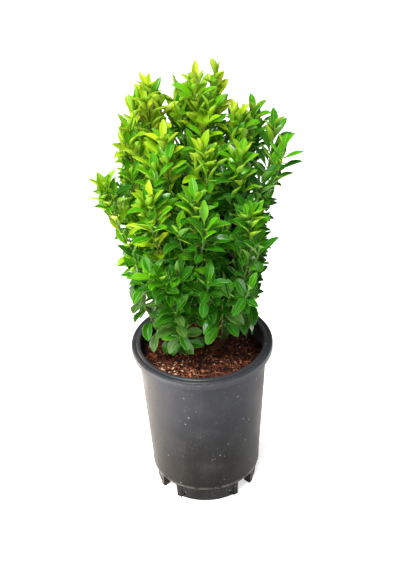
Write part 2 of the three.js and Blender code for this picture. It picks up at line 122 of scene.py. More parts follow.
# Where each woody stem leaves the ground, and the rise of the limbs that grow from them
STEM_FEET = [(0.020, 0.013), (0.008, 0.036), (-0.016, 0.030), (-0.008, 0.012)]
STEM_LEAN = 0.005
STEM_HEIGHT = 0.030
SEAT = 0.0003
FLARE = 0.0018
FLARE_FALL = 9
FORK_SPREAD = 0.12
FORK_BARK = 0.0008
BOUGH_RISE = 0.12
BOUGH_BEND_UP = 0.36
BARE_SHARE = 0.13
LOW_START = 17 / 30
LOW_FOOT_SHARE = 4.2 / 30
LOW_BEND_OUT = 0.6
LOW_BEND_UP = 0.05

# The seeds of the parts that vary
LOW_SEED = 100
SOIL_SEED = 300


def srgb(red, green, blue):
    """A colour that is given as on a screen, from 0 to 255, as the linear colour that shaders take."""

    def linear(value):
        share = value / 255
        return share / 12.92 if share <= 0.04045 else ((share + 0.055) / 1.055) ** 2.4

    return (linear(red), linear(green), linear(blue))


def length_of(name, description, default):
    """A setting that is a length in metres."""
    return FloatProperty(
        name=name, description=description, default=default, min=0, unit="LENGTH", precision=4
    )


def share_of(name, description, default):
    """A setting that is a plain share or ratio."""
    return FloatProperty(name=name, description=description, default=default)


def count_of(name, description, default, least=0):
    """A setting that is a whole number."""
    return IntProperty(name=name, description=description, default=default, min=least)


def colour_of(name, description, default):
    """A setting that is a colour."""
    return FloatVectorProperty(
        name=name, description=description, default=default, size=3, min=0, max=1, subtype="COLOR"
    )


class SpindlePot(bpy.types.PropertyGroup):
    """Sizes and colours of the pot."""

    height: length_of("Height", "From the ground to the top of the rim", POT_HIGH.z)
    rim_radius: length_of("Rim radius", "Outside of the turned-down rim", POT_HIGH.x)
    rim_drop: length_of("Rim drop", "How far the rim is turned down", 0.009)
    mouth_radius: length_of("Mouth radius", "Outside of the wall at the top", 0.0826)
    ledge_radius: length_of("Ledge radius", "Outside of the wall at the ledge", 0.0712)
    foot_height: length_of("Foot height", "From the ground to the ledge", 0.0235)
    foot_radius: length_of("Foot radius", "Outside of the feet at the ground", 0.067)
    foot_thickness: length_of("Foot thickness", "Thickness of the feet", 0.003)
    wall: length_of("Wall", "Thickness of the wall", 0.002)
    colour: colour_of("Plastic", "Colour of the plastic", (0.033, 0.0345, 0.0425))
    # The low plastic colour is painted shade: the plastic darkens towards the ground as the shade near the
    # floor falls there.
    painted_shade: colour_of("Low plastic", "Colour of the plastic near the ground", (0.003, 0.0028, 0.0024))
    dust: colour_of("Dust", "Colour of the dust and scuffs", srgb(178, 172, 162))


class SpindleSoil(bpy.types.PropertyGroup):
    """Sizes and colours of the potting mix."""

    level: length_of("Level", "Height of the potting mix in the middle", SOIL_HIGH.z)
    edge_level: length_of("Edge level", "Height of the potting mix at the wall", 0.190)
    flat_radius: length_of("Flat radius", "Where the potting mix starts to fall", 0.050)
    chips: count_of("Chips", "Number of bark chips", 1900)
    pale_chips: count_of("Pale chips", "Number of large pale chips", 140)
    fibres: count_of("Fibres", "Number of fibres", 700)
    colour: colour_of("Potting mix", "Colour of the moist potting mix", srgb(51, 19, 11))
    # The crumbs' dark colour is partly the peat's own dark tone and partly painted shade in the hollows of
    # the potting mix's relief.
    dark: colour_of("Crumbs", "Colour of the dark crumbs", srgb(12, 5, 4))


class SpindleWood(bpy.types.PropertyGroup):
    """Sizes and colours of the stems, boughs and twigs."""

    stem_radius: length_of("Stem radius", "Radius of a stem", 0.0036)
    bough_radius: length_of("Bough radius", "Radius of a bough at its foot", 0.0017)
    twig_radius: length_of("Twig radius", "Radius of a leafy shoot at its foot", 0.0014)
    low_radius: length_of("Low shoot radius", "Radius of a low shoot at its foot", 0.0012)
    tip_radius: length_of("Tip radius", "Radius of a twig at its tip", 0.0006)
    bark: colour_of("Bark", "Colour of the old bark", srgb(106, 64, 42))
    young: colour_of("Young wood", "Colour of the green twigs", srgb(84, 108, 30))


class SpindleLeaves(bpy.types.PropertyGroup):
    """Sizes and gloss of the leaves."""

    length: length_of("Length", "Length of a grown leaf with its stalk", 0.0305)
    low_length: length_of("Low length", "Length of a leaf on the low shoots", 0.034)
    width: share_of("Width", "Width of a leaf as a share of its length", 0.40)
    spacing: length_of("Spacing", "Way between two pairs of leaves", 0.0110)
    low_spacing: length_of("Low spacing", "Way between two pairs of leaves on a low shoot", 0.0092)
    side_spacing: length_of("Side spacing", "Way between two pairs of leaves on a side twig", 0.0100)
    side_length: length_of("Side twigs", "Length of a side twig", 0.048)
    side_every: count_of("Side twig every", "Pairs from one side twig to the next", 1, least=1)
    roughness: share_of("Roughness", "Roughness of the upper side", 0.24)


class SpindleStage(bpy.types.PropertyGroup):
    """Light and floor."""

    floor: colour_of("Floor", "Colour of the floor", (0.92, 0.915, 0.905))
    shine: share_of("Shine", "Strength of the light that the floor itself gives", 0.6)
    sky: share_of("Sky", "Strength of the light from all sides", 0.33)
    key: share_of("Key", "Strength of the main light, from the front on the left", 2.5)
    gloss: share_of("Gloss", "Strength of the small light that the leaves' gloss shows", 1.6)
    fill: share_of("Fill", "Strength of the second light, from the front on the right", 0.08)
    side: share_of("Side", "Strength of the low light from the left", 1.0)
    glow: FloatProperty(
        name="Glow", description="Power of the lamps over the floor", default=20, subtype="POWER"
    )


def math_operator(operation, swapped=False):
    """An operator of a wire that adds one Math node, with its two sides swapped for a reflected form."""

    def operator(self, other):
        first, second = (other, self) if swapped else (self, other)
        return self.finish.node("ShaderNodeMath", {"operation": operation}, {0: first, 1: second})

    return operator


class Wire:
    """A socket of a finish's nodes, for sums that are written as Python expressions."""

    def __init__(self, finish, socket):
        self.finish = finish
        self.socket = socket

    __add__ = math_operator("ADD")
    __radd__ = math_operator("ADD", swapped=True)
    __sub__ = math_operator("SUBTRACT")
    __rsub__ = math_operator("SUBTRACT", swapped=True)
    __mul__ = math_operator("MULTIPLY")
    __rmul__ = math_operator("MULTIPLY", swapped=True)
    __pow__ = math_operator("POWER")
    __rpow__ = math_operator("POWER", swapped=True)


# The sockets of a Mix node that mixes colours
MIX_SHARE, MIX_FIRST, MIX_SECOND, MIX_RESULT = 0, 6, 7, 2


class Finish:
    """A material on one Principled shader: constants on its sockets, and nodes for what varies."""

    def __init__(self, name, colour, roughness, constants=None):
        self.material = bpy.data.materials.new(name)
        self.material.use_nodes = True
        self.material.diffuse_color = (*colour, 1)
        self.tree = self.material.node_tree
        self.shader = self.tree.nodes["Principled BSDF"]
        self.shader.inputs["Base Color"].default_value = (*colour, 1)
        self.shader.inputs["Roughness"].default_value = roughness
        for socket, value in (constants or {}).items():
            self.shader.inputs[socket].default_value = value

    def node(self, kind, settings, sockets, output=0):
        """A node with its settings, then the values or links of its sockets, as the wire of one output."""
        made = self.tree.nodes.new(kind)
        for name, value in settings.items():
            if name == "stops":
                self.set_stops(made.color_ramp, value)
            else:
                setattr(made, name, value)
        for key, value in sockets.items():
            if isinstance(value, Wire):
                self.tree.links.new(value.socket, made.inputs[key])
            else:
                made.inputs[key].default_value = value
        return Wire(self, made.outputs[output])

    def set_stops(self, ramp, stops):
        """Gives a colour ramp its positions and colours."""
        while len(ramp.elements) < len(stops):
            ramp.elements.new(1)
        for element, (position, colour) in zip(ramp.elements, stops):
            element.position = position
            element.color = (*colour, 1)

    def place(self):
        """The place on the object in its own coordinates, in metres."""
        return self.node("ShaderNodeTexCoord", {}, {}, "Object")

    def cloud(self, place, scale, detail, roughness=0.55):
        """A soft noise from 0 to 1."""
        sockets = {"Vector": place, "Scale": scale, "Detail": detail, "Roughness": roughness}
        return self.node("ShaderNodeTexNoise", {}, sockets)

    def stretched(self, place, scale):
        """A place scaled by its own share on each axis."""
        return self.node("ShaderNodeMapping", {}, {"Vector": place, "Scale": scale})

    def ramp(self, wire, stops):
        """A colour from a row of stops, by a value from 0 to 1."""
        return self.node("ShaderNodeValToRGB", {"stops": stops}, {"Fac": wire})

    def between(self, wire, low, high):
        """A share from 0 to 1 as a value goes from low to high."""
        sockets = {"Value": wire, "From Min": low, "From Max": high}
        return self.node("ShaderNodeMapRange", {"clamp": True}, sockets)

    def blend(self, share, first, second):
        """A colour between two, by a share."""
        colours = [value if isinstance(value, Wire) else (*value, 1) for value in (first, second)]
        settings = {"data_type": "RGBA", "clamp_factor": True}
        sockets = {MIX_SHARE: share, MIX_FIRST: colours[0], MIX_SECOND: colours[1]}
        return self.node("ShaderNodeMix", settings, sockets, MIX_RESULT)

    def set(self, socket, wire):
        """Links a wire to a socket of the shader."""
        self.tree.links.new(wire.socket, self.shader.inputs[socket])

    def bump(self, height, strength, distance):
        """Makes a fine relief from a height."""
        sockets = {"Height": height, "Strength": strength, "Distance": distance}
        self.set("Normal", self.node("ShaderNodeBump", {}, sockets))


class Joined:
    """Many small shapes joined into the arrays of one mesh."""

    def __init__(self):
        self.places = []
        self.faces = []
        self.finishes = []
        self.count = 0

    def add(self, places, faces, finishes):
        """Corners, faces as rows of corner numbers, and the finish number of each face."""
        self.places.append(places)
        self.faces.extend((np.asarray(face) + self.count).tolist() for face in faces)
        self.finishes.extend(finishes)
        self.count += len(places)

    def add_plain(self, shape, finish=0):
        """A shape, as its corners and faces, that has one finish all over."""
        places, faces = shape
        self.add(places, faces, [finish] * len(faces))

    def piece(self, name, finishes):
        """The joined shapes as a smooth object with these finishes."""
        return mesh_piece(name, np.concatenate(self.places), self.faces, self.finishes, finishes)


def mesh_piece(name, places, faces, numbers, finishes):
    """A smooth object from corners, faces and each face's finish number."""
    mesh = bpy.data.meshes.new(name)
    mesh.from_pydata(places.tolist(), [], faces)
    for finish in finishes:
        mesh.materials.append(finish.material)
    mesh.polygons.foreach_set("material_index", np.asarray(numbers, dtype=np.int32))
    mesh.polygons.foreach_set("use_smooth", np.ones(len(faces), dtype=bool))
    mesh.update()
    piece = bpy.data.objects.new(name, mesh)
    bpy.context.scene.collection.objects.link(piece)
    return piece


def plain_piece(name, shape, finish):
    """A smooth object of one finish from a shape's corners and faces."""
    places, faces = shape
    return mesh_piece(name, places, faces, [0] * len(faces), [finish])


def settle(piece, slot, *nodes):
    """A finished piece rides on the one body and stands for the solids it replaces; its slot is not used."""
    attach(piece, "root")
    if nodes:
        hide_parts(*nodes)


def unit(vectors):
    """Vectors at a length of one."""
    return vectors / np.linalg.norm(vectors, axis=-1, keepdims=True)


def mix(first, second, share):
    """What lies at a share of the way from the first to the second."""
    return first + (second - first) * share


def share_past(value, start, over):
    """How far a value has gone past a start, as a share from 0 to 1 of a way."""
    return np.clip((value - start) / over, 0, 1)


class Path:
    """A limb's smooth path, read by shares of its length."""

    STEPS = 200
    NUDGE = 0.002

    def __init__(self, corners, side):
        self.corners = np.array(corners, dtype=float)
        self.side = np.array(side, dtype=float)
        self.times = np.linspace(0, 1, self.STEPS + 1)
        steps = np.linalg.norm(np.diff(self.curve(self.times), axis=0), axis=1)
        self.reached = np.concatenate([[0], np.cumsum(steps)])
        self.length = self.reached[-1]

    def curve(self, times):
        """Places on the curve at times from 0 to 1."""
        order = len(self.corners) - 1
        weights = [math.comb(order, k) * times**k * (1 - times) ** (order - k) for k in range(order + 1)]
        return np.stack(weights, axis=-1) @ self.corners

    def places(self, shares):
        """Places at shares of the path's length."""
        times = np.interp(np.asarray(shares) * self.length, self.reached, self.times)
        return self.curve(times)

    def directions(self, shares):
        """Directions along the path at shares of its length."""
        low = np.clip(np.asarray(shares) - self.NUDGE, 0, 1 - 2 * self.NUDGE)
        return unit(self.places(low + 2 * self.NUDGE) - self.places(low))

    def frames(self, shares):
        """The directions along the limb and two across it that follow the limb's own side."""
        along = self.directions(shares)
        second = unit(np.cross(along, self.side))
        return along, np.cross(second, along), second


def ring_faces(rings, sides):
    """The faces round a stack of rings whose two end points come last."""
    faces = []
    for ring in range(rings - 1):
        for side in range(sides):
            after = (side + 1) % sides
            low, high = ring * sides, (ring + 1) * sides
            faces.append((low + side, low + after, high + after, high + side))
    top = (rings - 1) * sides
    for side in range(sides):
        after = (side + 1) % sides
        faces.append((rings * sides, after, side))
        faces.append((rings * sides + 1, top + side, top + after))
    return faces


def tube(path, start, end, sides, rings, radius_at, relief=None):
    """A round limb along a stretch of a path, with a relief that adds to its radius."""
    shares = np.linspace(start, end, rings)
    _, first, second = path.frames(shares)
    turns = np.arange(sides) * FULL_TURN / sides
    radii = np.repeat(radius_at(shares)[:, None], sides, axis=1)
    hearts = path.places(shares)
    out = np.cos(turns)[None, :, None] * first[:, None] + np.sin(turns)[None, :, None] * second[:, None]
    if relief:
        radii = radii + relief(hearts[:, None] + radii[..., None] * out)
    places = hearts[:, None] + radii[..., None] * out
    return np.concatenate([places.reshape(-1, 3), hearts[:1], hearts[-1:]]), ring_faces(rings, sides)


def turned(section, segments, shift=None):
    """A round shape about the Z axis from a section that starts and ends there, moved by any shift."""
    turns = np.arange(segments) * FULL_TURN / segments
    section = np.array(section, dtype=float)
    radii, heights = section[1:-1, 0], section[1:-1, 1]
    places = np.stack(
        [
            radii[:, None] * np.cos(turns),
            radii[:, None] * np.sin(turns),
            np.repeat(heights[:, None], segments, axis=1),
        ],
        axis=-1,
    ).reshape(-1, 3)
    ends = np.array([[0, 0, section[0, 1]], [0, 0, section[-1, 1]]])
    places = np.concatenate([places, ends])
    return (shift(places) if shift else places), ring_faces(len(radii), segments)


def rounded(before, corner, after, radius, steps):
    """The points of a section that go round a corner."""
    before, corner, after = (np.array(point, dtype=float) for point in (before, corner, after))
    start = corner + unit(before - corner) * radius
    end = corner + unit(after - corner) * radius
    shares = np.linspace(0, 1, steps + 1)[:, None]
    curve = (1 - shares) ** 2 * start + 2 * shares * (1 - shares) * corner + shares**2 * end
    return [tuple(point) for point in curve]


def bar(inner, outer, width, low, high, angle):
    """The corners and faces of a bar that runs outwards from the pot's axis."""
    corners = [(x, y, z) for x in (inner, outer) for y in (-width / 2, width / 2) for z in (low, high)]
    turn = np.array(Matrix.Rotation(angle, 3, "Z"))
    faces = [(0, 1, 3, 2), (4, 6, 7, 5), (0, 4, 5, 1), (2, 3, 7, 6), (0, 2, 6, 4), (1, 5, 7, 3)]
    return np.array(corners) @ turn.T, faces


def combine(piece, cutter, operation):
    """The piece joined with another shape or cut by it, after which that shape is gone."""
    modifier = piece.modifiers.new("Combine", "BOOLEAN")
    modifier.operation = operation
    modifier.solver = "MANIFOLD"
    modifier.object = cutter
    graph = bpy.context.evaluated_depsgraph_get()
    mesh = bpy.data.meshes.new_from_object(piece.evaluated_get(graph))
    piece.modifiers.clear()
    piece.data = mesh
    bpy.data.objects.remove(cutter)


# The pot

POT_SEGMENTS = 160
SHARP_EDGE = math.radians(38)
OVERLAP = 0.001

# The foot ring and the bead at the ledge
FOOT_TAPER = 0.0016
FOOT_CHAMFER = 0.0006
FOOT_ROUNDING = 0.0007
LEDGE_DROP = 0.001
LEDGE_ROUNDING = 0.0011
BEAD_STEP = 0.0006
BEAD_HEIGHT = 0.0022
BEAD_TOP = 0.0046
BEAD_ROUNDING = 0.0007

# The wall, its collar, and where the rim grows out of it
WALL_STEPS = 9
INSIDE_STEPS = 8
INSIDE_BELOW_RIM = 0.01
COLLAR_DROP = 0.008
COLLAR_GAP = 0.001
COLLAR_STEP = 0.0009
COLLAR_RISE = 0.0022
COLLAR_TOP = 0.003
ROOT_STEP = 0.0018
ROOT_DROP = 0.0022

# The turned-down rim, and its top from the bead over a valley into the mouth, as steps out and up
# from the mouth's edge
RIM_ROOF = 0.0024
HEM_ROUNDING = 0.0007
EDGE_ROUNDING = 0.0008
RIM_ROUNDING = 0.0034
RIM_PEAK = 0.0001
LIP_STEPS = [
    (0.0031, -0.0003),
    (0.0021, -0.0009),
    (0.0011, -0.0010),
    (0.0004, -0.0003),
    (-0.0006, 0.0002),
    (-0.0022, 0.0003),
    (-0.0036, -0.0003),
    (-0.0043, -0.0018),
    (-0.0044, -0.004),
]

# The notches between the feet, with their walls and drain holes
FEET = 4
NOTCH_WIDTH = 0.024
NOTCH_SHIFT = math.radians(2)
NOTCH_WALL = 0.002
NOTCH_WALL_INSET = 0.0025
NOTCH_INNER = 0.057
NOTCH_BELOW_LEDGE = 0.0035
DRAIN_WIDTH = 0.011
DRAIN_INNER = 0.052
DRAIN_OUTER = 0.062
DRAIN_OVERLAP = 0.0005

# The slits and raised pads near the ends of the feet, by turns on the side feet and on the others
SLIT_WIDTH = 0.0024
SLIT_LOW = 0.005
SLIT_HIGH = 0.013
SLIT_TURNS = (math.radians(19), math.radians(27))
PAD_WIDTH = 0.007
PAD_STEP = 0.0014
PAD_ROOT = 0.002
PAD_BELOW_LEDGE = 0.003
PAD_TURNS = (math.radians(29.3), math.radians(33.3))


def wall_radius(pot, height):
    """The outside radius of the pot's wall at a height."""
    share = (height - pot.foot_height) / (pot.height - pot.foot_height)
    return mix(pot.ledge_radius, pot.mouth_radius, share)


def foot_section(pot):
    """The foot ring, from the middle of the floor's underside down round the foot and up to the bead."""
    ledge = pot.foot_height
    inside = pot.foot_radius - pot.foot_thickness
    top = (pot.foot_radius + FOOT_TAPER, ledge - LEDGE_DROP)
    bead = (wall_radius(pot, ledge) + BEAD_STEP, ledge + BEAD_HEIGHT)
    bead_foot = (bead[0], ledge)
    points = [(0, ledge), (inside / 2, ledge), (inside, ledge)]
    points += [(inside, FOOT_CHAMFER), (inside + FOOT_CHAMFER, 0)]
    points += rounded((inside, 0), (pot.foot_radius, 0), top, FOOT_ROUNDING, steps=3)
    points += [top]
    points += rounded(top, bead_foot, bead, LEDGE_ROUNDING, steps=4)
    points += rounded(bead_foot, bead, (pot.ledge_radius, ledge + BEAD_TOP), BEAD_ROUNDING, steps=3)
    return points


def wall_section(pot):
    """The outside of the wall, from the bead up to the collar and on to where the rim grows out."""
    collar = pot.height - pot.rim_drop - COLLAR_DROP
    collar_radius = wall_radius(pot, collar)
    heights = np.linspace(pot.foot_height + BEAD_TOP, collar - COLLAR_GAP, WALL_STEPS)
    points = [(wall_radius(pot, height), height) for height in heights]
    points += [(collar_radius + share * COLLAR_STEP, collar + share * COLLAR_RISE) for share in (0, 0.5, 1)]
    points += [(pot.mouth_radius + COLLAR_STEP, pot.height - COLLAR_TOP)]
    points += [(pot.mouth_radius + ROOT_STEP, pot.height - ROOT_DROP)]
    return points


def lip_section(pot):
    """The rim from under its lip, over a rounded bead and a shallow valley to the small bead at the mouth."""
    top, out, mouth = pot.height, pot.rim_radius, pot.mouth_radius
    skirt = out - pot.wall
    hem = top - pot.rim_drop
    points = [(skirt, top - RIM_ROOF)]
    points += rounded((skirt, top), (skirt, hem), (out, hem), HEM_ROUNDING, steps=3)
    points += rounded((skirt, hem), (out, hem), (out, top), EDGE_ROUNDING, steps=3)
    points += rounded((out, hem), (out, top + RIM_PEAK), (mouth, top), RIM_ROUNDING, steps=7)
    points += [(mouth + step_out, top + step_up) for step_out, step_up in LIP_STEPS]
    return points


def inside_section(pot):
    """The inside of the pot, from below the mouth down the wall and to the middle of the floor."""
    floor = pot.foot_height + pot.wall
    heights = np.linspace(pot.height - INSIDE_BELOW_RIM, floor, INSIDE_STEPS)
    points = [(wall_radius(pot, height) - pot.wall, height) for height in heights]
    return [*points, ((pot.foot_radius - pot.foot_thickness) / 2, floor), (0, floor)]


def pot_section(pot):
    """The pot's half section, from the middle of the floor's underside round to the middle of its top."""
    return [*foot_section(pot), *wall_section(pot), *lip_section(pot), *inside_section(pot)]


def joined_bars(bars):
    """Bars joined into the arrays of one mesh."""
    joined = Joined()
    for shape in bars:
        joined.add_plain(shape)
    return joined


def notch_turns():
    """The angles of the notches, which leave the front and back feet wider than the side ones."""
    middles = [(foot + 0.5) * FULL_TURN / FEET for foot in range(FEET)]
    return [middle + (NOTCH_SHIFT if foot % 2 else -NOTCH_SHIFT) for foot, middle in enumerate(middles)]


def foot_ends(turns):
    """The angles near both ends of each foot, by one turn on the side feet and another on the others."""
    middles = [foot * FULL_TURN / FEET for foot in range(FEET)]
    return [middle + way * turns[foot % 2] for foot, middle in enumerate(middles) for way in (-1, 1)]


def notch_walls(pot):
    """The walls that run inwards beside each notch, as bars that the notches are then cut through."""
    width = NOTCH_WIDTH + 2 * NOTCH_WALL
    outer = pot.foot_radius - NOTCH_WALL_INSET
    high = pot.foot_height + OVERLAP
    return joined_bars(bar(NOTCH_INNER, outer, width, 0, high, turn) for turn in notch_turns())


def foot_pads(pot):
    """The raised pads near the ends of each foot."""
    inner, outer = pot.foot_radius - PAD_ROOT, pot.foot_radius + PAD_STEP
    high = pot.foot_height - PAD_BELOW_LEDGE
    return joined_bars(bar(inner, outer, PAD_WIDTH, 0, high, turn) for turn in foot_ends(PAD_TURNS))


def pot_cutter(pot):
    """The notches between the feet, the drain holes behind them, and the slits of each foot."""
    inner = NOTCH_INNER - OVERLAP
    outer = pot.ledge_radius + pot.wall
    top = pot.foot_height - NOTCH_BELOW_LEDGE
    drain_top = pot.foot_height + pot.wall + OVERLAP
    bars = []
    for turn in notch_turns():
        bars.append(bar(inner, outer, NOTCH_WIDTH, -OVERLAP, top, turn))
        bars.append(bar(DRAIN_INNER, DRAIN_OUTER, DRAIN_WIDTH, top - DRAIN_OVERLAP, drain_top, turn))
    bars += [bar(inner, outer, SLIT_WIDTH, SLIT_LOW, SLIT_HIGH, turn) for turn in foot_ends(SLIT_TURNS)]
    return joined_bars(bars)


# The wear of the pot: its specks, the painted shade that darkens the plastic downwards, the paler band at the
# ledge bead that is partly wear and partly a painted highlight, and how much each dust shows
WOBBLE = (0.0022, 0.0022, 0.0022)
SPECK_FALL = 2.0
SPECK_EDGE = 0.05
STREAKS = (90, 90, 9)
SCUFFS = (240, 240, 70)
PAINTED_SHADE_MOTTLE = 0.07
PAINTED_SHADE_LOW = 0.095
PAINTED_SHADE_HIGH = 0.235
LEDGE_BAND_NEAR = 1e-6
LEDGE_BAND_FAR = 4e-6
SMOOTH_LOW = 0.008
SMOOTH_HIGH = 0.004
MOTTLE_DUST = 0.03
STREAK_DUST = 0.02
SPECK_DUST = 0.5
POWDER_DUST = 0.22
SCUFF_DUST = 0.4
LEDGE_WEAR_AND_PAINTED_HIGHLIGHT = 0.08


def specks_of(finish, place, scale, size, chance):
    """Specks of many sizes, few of them large: one in some of the cells of a pattern."""
    sockets = {"Vector": place, "Scale": scale}
    away = finish.node("ShaderNodeTexVoronoi", {"feature": "F1"}, sockets, "Distance")
    cell = finish.node("ShaderNodeTexVoronoi", {"feature": "F1"}, sockets, "Color")
    lot = finish.node("ShaderNodeSeparateColor", {}, {"Color": cell}, "Red")
    reach = size * finish.between(lot, 1 - chance, 1.0) ** SPECK_FALL
    return finish.between(reach - away, 0.0, SPECK_EDGE)


def crumpled_place(finish, place):
    """The place on the pot, shaken a little so that specks have uneven edges."""
    shake = finish.node("ShaderNodeTexNoise", {}, {"Vector": place, "Scale": 420.0, "Detail": 2.0}, "Color")
    return finish.node(
        "ShaderNodeVectorMath", {"operation": "MULTIPLY_ADD"}, {0: shake, 1: WOBBLE, 2: place}
    )


def pot_plastic(pot):
    """Dark moulded plastic with painted shade that darkens it towards the ground, with fine grain, dust,
    specks of mix, a few scuffs and a paler ledge bead that is partly wear and partly a painted highlight.
    """
    constants = {"Specular IOR Level": 0.12, "Coat Roughness": 0.3}
    finish = Finish("pot_plastic", tuple(pot.colour), roughness=0.42, constants=constants)
    place = finish.place()
    height = finish.node("ShaderNodeSeparateXYZ", {}, {"Vector": place}, "Z")
    mottle = finish.cloud(place, scale=26, detail=4)
    # Painted shade: the plastic's colour darkens towards the ground, with a mottled edge.
    rise = finish.between(height + mottle * PAINTED_SHADE_MOTTLE, PAINTED_SHADE_LOW, PAINTED_SHADE_HIGH)
    plastic = finish.blend(rise, tuple(pot.painted_shade), tuple(pot.colour))
    streaks = finish.cloud(finish.stretched(place, STREAKS), scale=1.0, detail=3)
    crumpled = crumpled_place(finish, place)
    specks = specks_of(finish, crumpled, scale=210.0, size=0.24, chance=0.22)
    dusty = finish.between(finish.cloud(place, scale=40, detail=3), 0.42, 0.66)
    powder = specks_of(finish, crumpled, scale=560.0, size=0.40, chance=0.6) * dusty
    scuffs = specks_of(finish, finish.stretched(crumpled, SCUFFS), scale=1.0, size=0.22, chance=0.10)
    # The band at the ledge bead is partly wear and partly a painted highlight: it pales the colour there, and
    # smooths and coats it.
    from_bead = height - pot.foot_height - BEAD_HEIGHT
    ledge_wear_and_painted_highlight = finish.between(from_bead * from_bead, LEDGE_BAND_FAR, LEDGE_BAND_NEAR) * finish.between(streaks, 0.36, 0.56)
    smooth = finish.between(height, pot.height - SMOOTH_LOW, pot.height - SMOOTH_HIGH)
    dust = finish.between(mottle, 0.45, 0.75) * MOTTLE_DUST
    dust = dust + finish.between(streaks, 0.52, 0.80) * STREAK_DUST
    dust = dust + specks * SPECK_DUST + powder * POWDER_DUST + scuffs * SCUFF_DUST + ledge_wear_and_painted_highlight * LEDGE_WEAR_AND_PAINTED_HIGHLIGHT
    finish.set("Base Color", finish.blend(dust, plastic, tuple(pot.dust)))
    finish.set("Roughness", 0.38 + finish.between(mottle, 0.3, 0.7) * 0.12 + dust * 0.3 - ledge_wear_and_painted_highlight * 0.1)
    finish.set("Coat Weight", smooth * 0.3 + ledge_wear_and_painted_highlight * 0.4)
    grain = finish.cloud(place, scale=900, detail=2) * 0.4 + finish.cloud(place, scale=45, detail=2)
    finish.bump(grain + specks * 1.5, strength=0.12, distance=0.0006)
    return finish


class SPINDLE_OT_pot(bpy.types.Operator):
    """Moulds the pot with its rim, collar, ledge and feet"""

    bl_idname = "spindle.pot"
    bl_label = "Mould the pot"

    def execute(self, context):
        pot = context.scene.spindle_pot
        finish = pot_plastic(pot)
        piece = plain_piece("pot_shell", turned(pot_section(pot), POT_SEGMENTS), finish)
        combine(piece, notch_walls(pot).piece("notch_walls", [finish]), "UNION")
        combine(piece, foot_pads(pot).piece("foot_pads", [finish]), "UNION")
        combine(piece, pot_cutter(pot).piece("pot_cutter", [finish]), "DIFFERENCE")
        piece.data.polygons.foreach_set("use_smooth", np.ones(len(piece.data.polygons), dtype=bool))
        piece.data.set_sharp_from_angle(angle=SHARP_EDGE)
        settle(piece, "pot_plastic", "pot")
        return {"FINISHED"}


# The potting mix

SOIL_SEGMENTS = 200
SOIL_RINGS = 64
SOIL_WALL_STEPS = 12
SOIL_GAP = 0.0003
SOIL_FLOOR = 0.03
SOIL_EDGE = 0.0805
SOIL_SINK = 0.0012
LEVEL_SPARE = 1e-6
SCATTER_MARGIN = 0.001

# The lumps of its rough top, as noise of a pitch in a layer of its own
CLODS = {"layer": 0.31, "pitch": 75, "form": (1.0, 2.0, 3), "height": 0.0042}
CRUMBS = {"layer": 0.77, "pitch": 340, "form": (0.9, 2.1, 3), "height": 0.0024}
CLOD_SHARE = 0.55
CRUMB_SHARE = 0.6

# The chips: an angular shape that is jittered, flattened and turned, in many sizes and a few colours
CHIP_CORNERS = np.array([(1, 0, 0), (0.2, 1, 0), (-1, 0.1, 0), (-0.1, -1, 0), (0, 0, 1), (0, 0, -1)])
CHIP_FACES = [(0, 1, 4), (1, 2, 4), (2, 3, 4), (3, 0, 4), (1, 0, 5), (2, 1, 5), (3, 2, 5), (0, 3, 5)]
CHIP_JITTER = 0.28
CHIP_WIDTHS = (0.4, 0.8)
CHIP_HEIGHTS = (0.25, 0.5)
CHIP_TILT = 0.4
CHIP_LIFT = 0.16
CHIP_LEAST = 0.0016
CHIP_VARIES = 0.0050
CHIP_POWER = 3
CHIP_TINTS = [(56, 19, 12), (100, 37, 20), (136, 61, 34), (192, 120, 76), (244, 218, 182), (17, 6, 4)]
CHIP_SHARES = [0.28, 0.26, 0.17, 0.06, 0.015, 0.215]

# The large pale chips, most of them near one spot
PALE_SIZES = (0.0022, 0.0060)
PALE_SHARES = [0.0, 0.04, 0.20, 0.38, 0.38, 0.0]
PALE_SPOT = (-0.044, -0.043)
PALE_SPREAD = 0.018

# The fibres
FIBRE_LENGTHS = (0.004, 0.017)
FIBRE_BEND = 0.7
FIBRE_LIFT = 0.0004
FIBRE_RISE = 0.0014
FIBRE_RADII = (0.00016, 0.00034)
FIBRE_FOOT = 1.05
FIBRE_TAPER = 0.5
FIBRE_SIDES = 4
FIBRE_RINGS = 6
FIBRE_TINTS = [(112, 54, 30), (172, 96, 56), (220, 164, 116)]
FIBRE_SHARES = [0.42, 0.40, 0.18]


def lumps(x, y, layer, pitch, form, height):
    """How high one kind of lump stands at a place."""
    return noise.fractal(Vector((x, y, layer)) * pitch, *form) * height


def soil_height(soil, x, y):
    """The height of the potting mix's rough top at a place."""
    fall = share_past(math.hypot(x, y), soil.flat_radius, SOIL_EDGE - soil.flat_radius)
    level = mix(soil.level, soil.edge_level, fall)
    return level - SOIL_SINK + CLOD_SHARE * lumps(x, y, **CLODS) + CRUMB_SHARE * lumps(x, y, **CRUMBS)


def soil_wall(pot, height):
    """The radius of the potting mix beside the pot's wall at a height."""
    return wall_radius(pot, height) - pot.wall - SOIL_GAP


def soil_section(pot, soil):
    """The half section of the potting mix, from the middle of its underside to the middle of its top."""
    low = pot.foot_height + pot.wall + SOIL_GAP
    edge = soil_wall(pot, soil.edge_level)
    heights = np.linspace(low, soil.edge_level, SOIL_WALL_STEPS)
    points = [(0, low), (SOIL_FLOOR, low)]
    points += [(soil_wall(pot, height), height) for height in heights]
    points += [(edge * share, soil.level) for share in np.linspace(1, 0, SOIL_RINGS)[1:]]
    return points


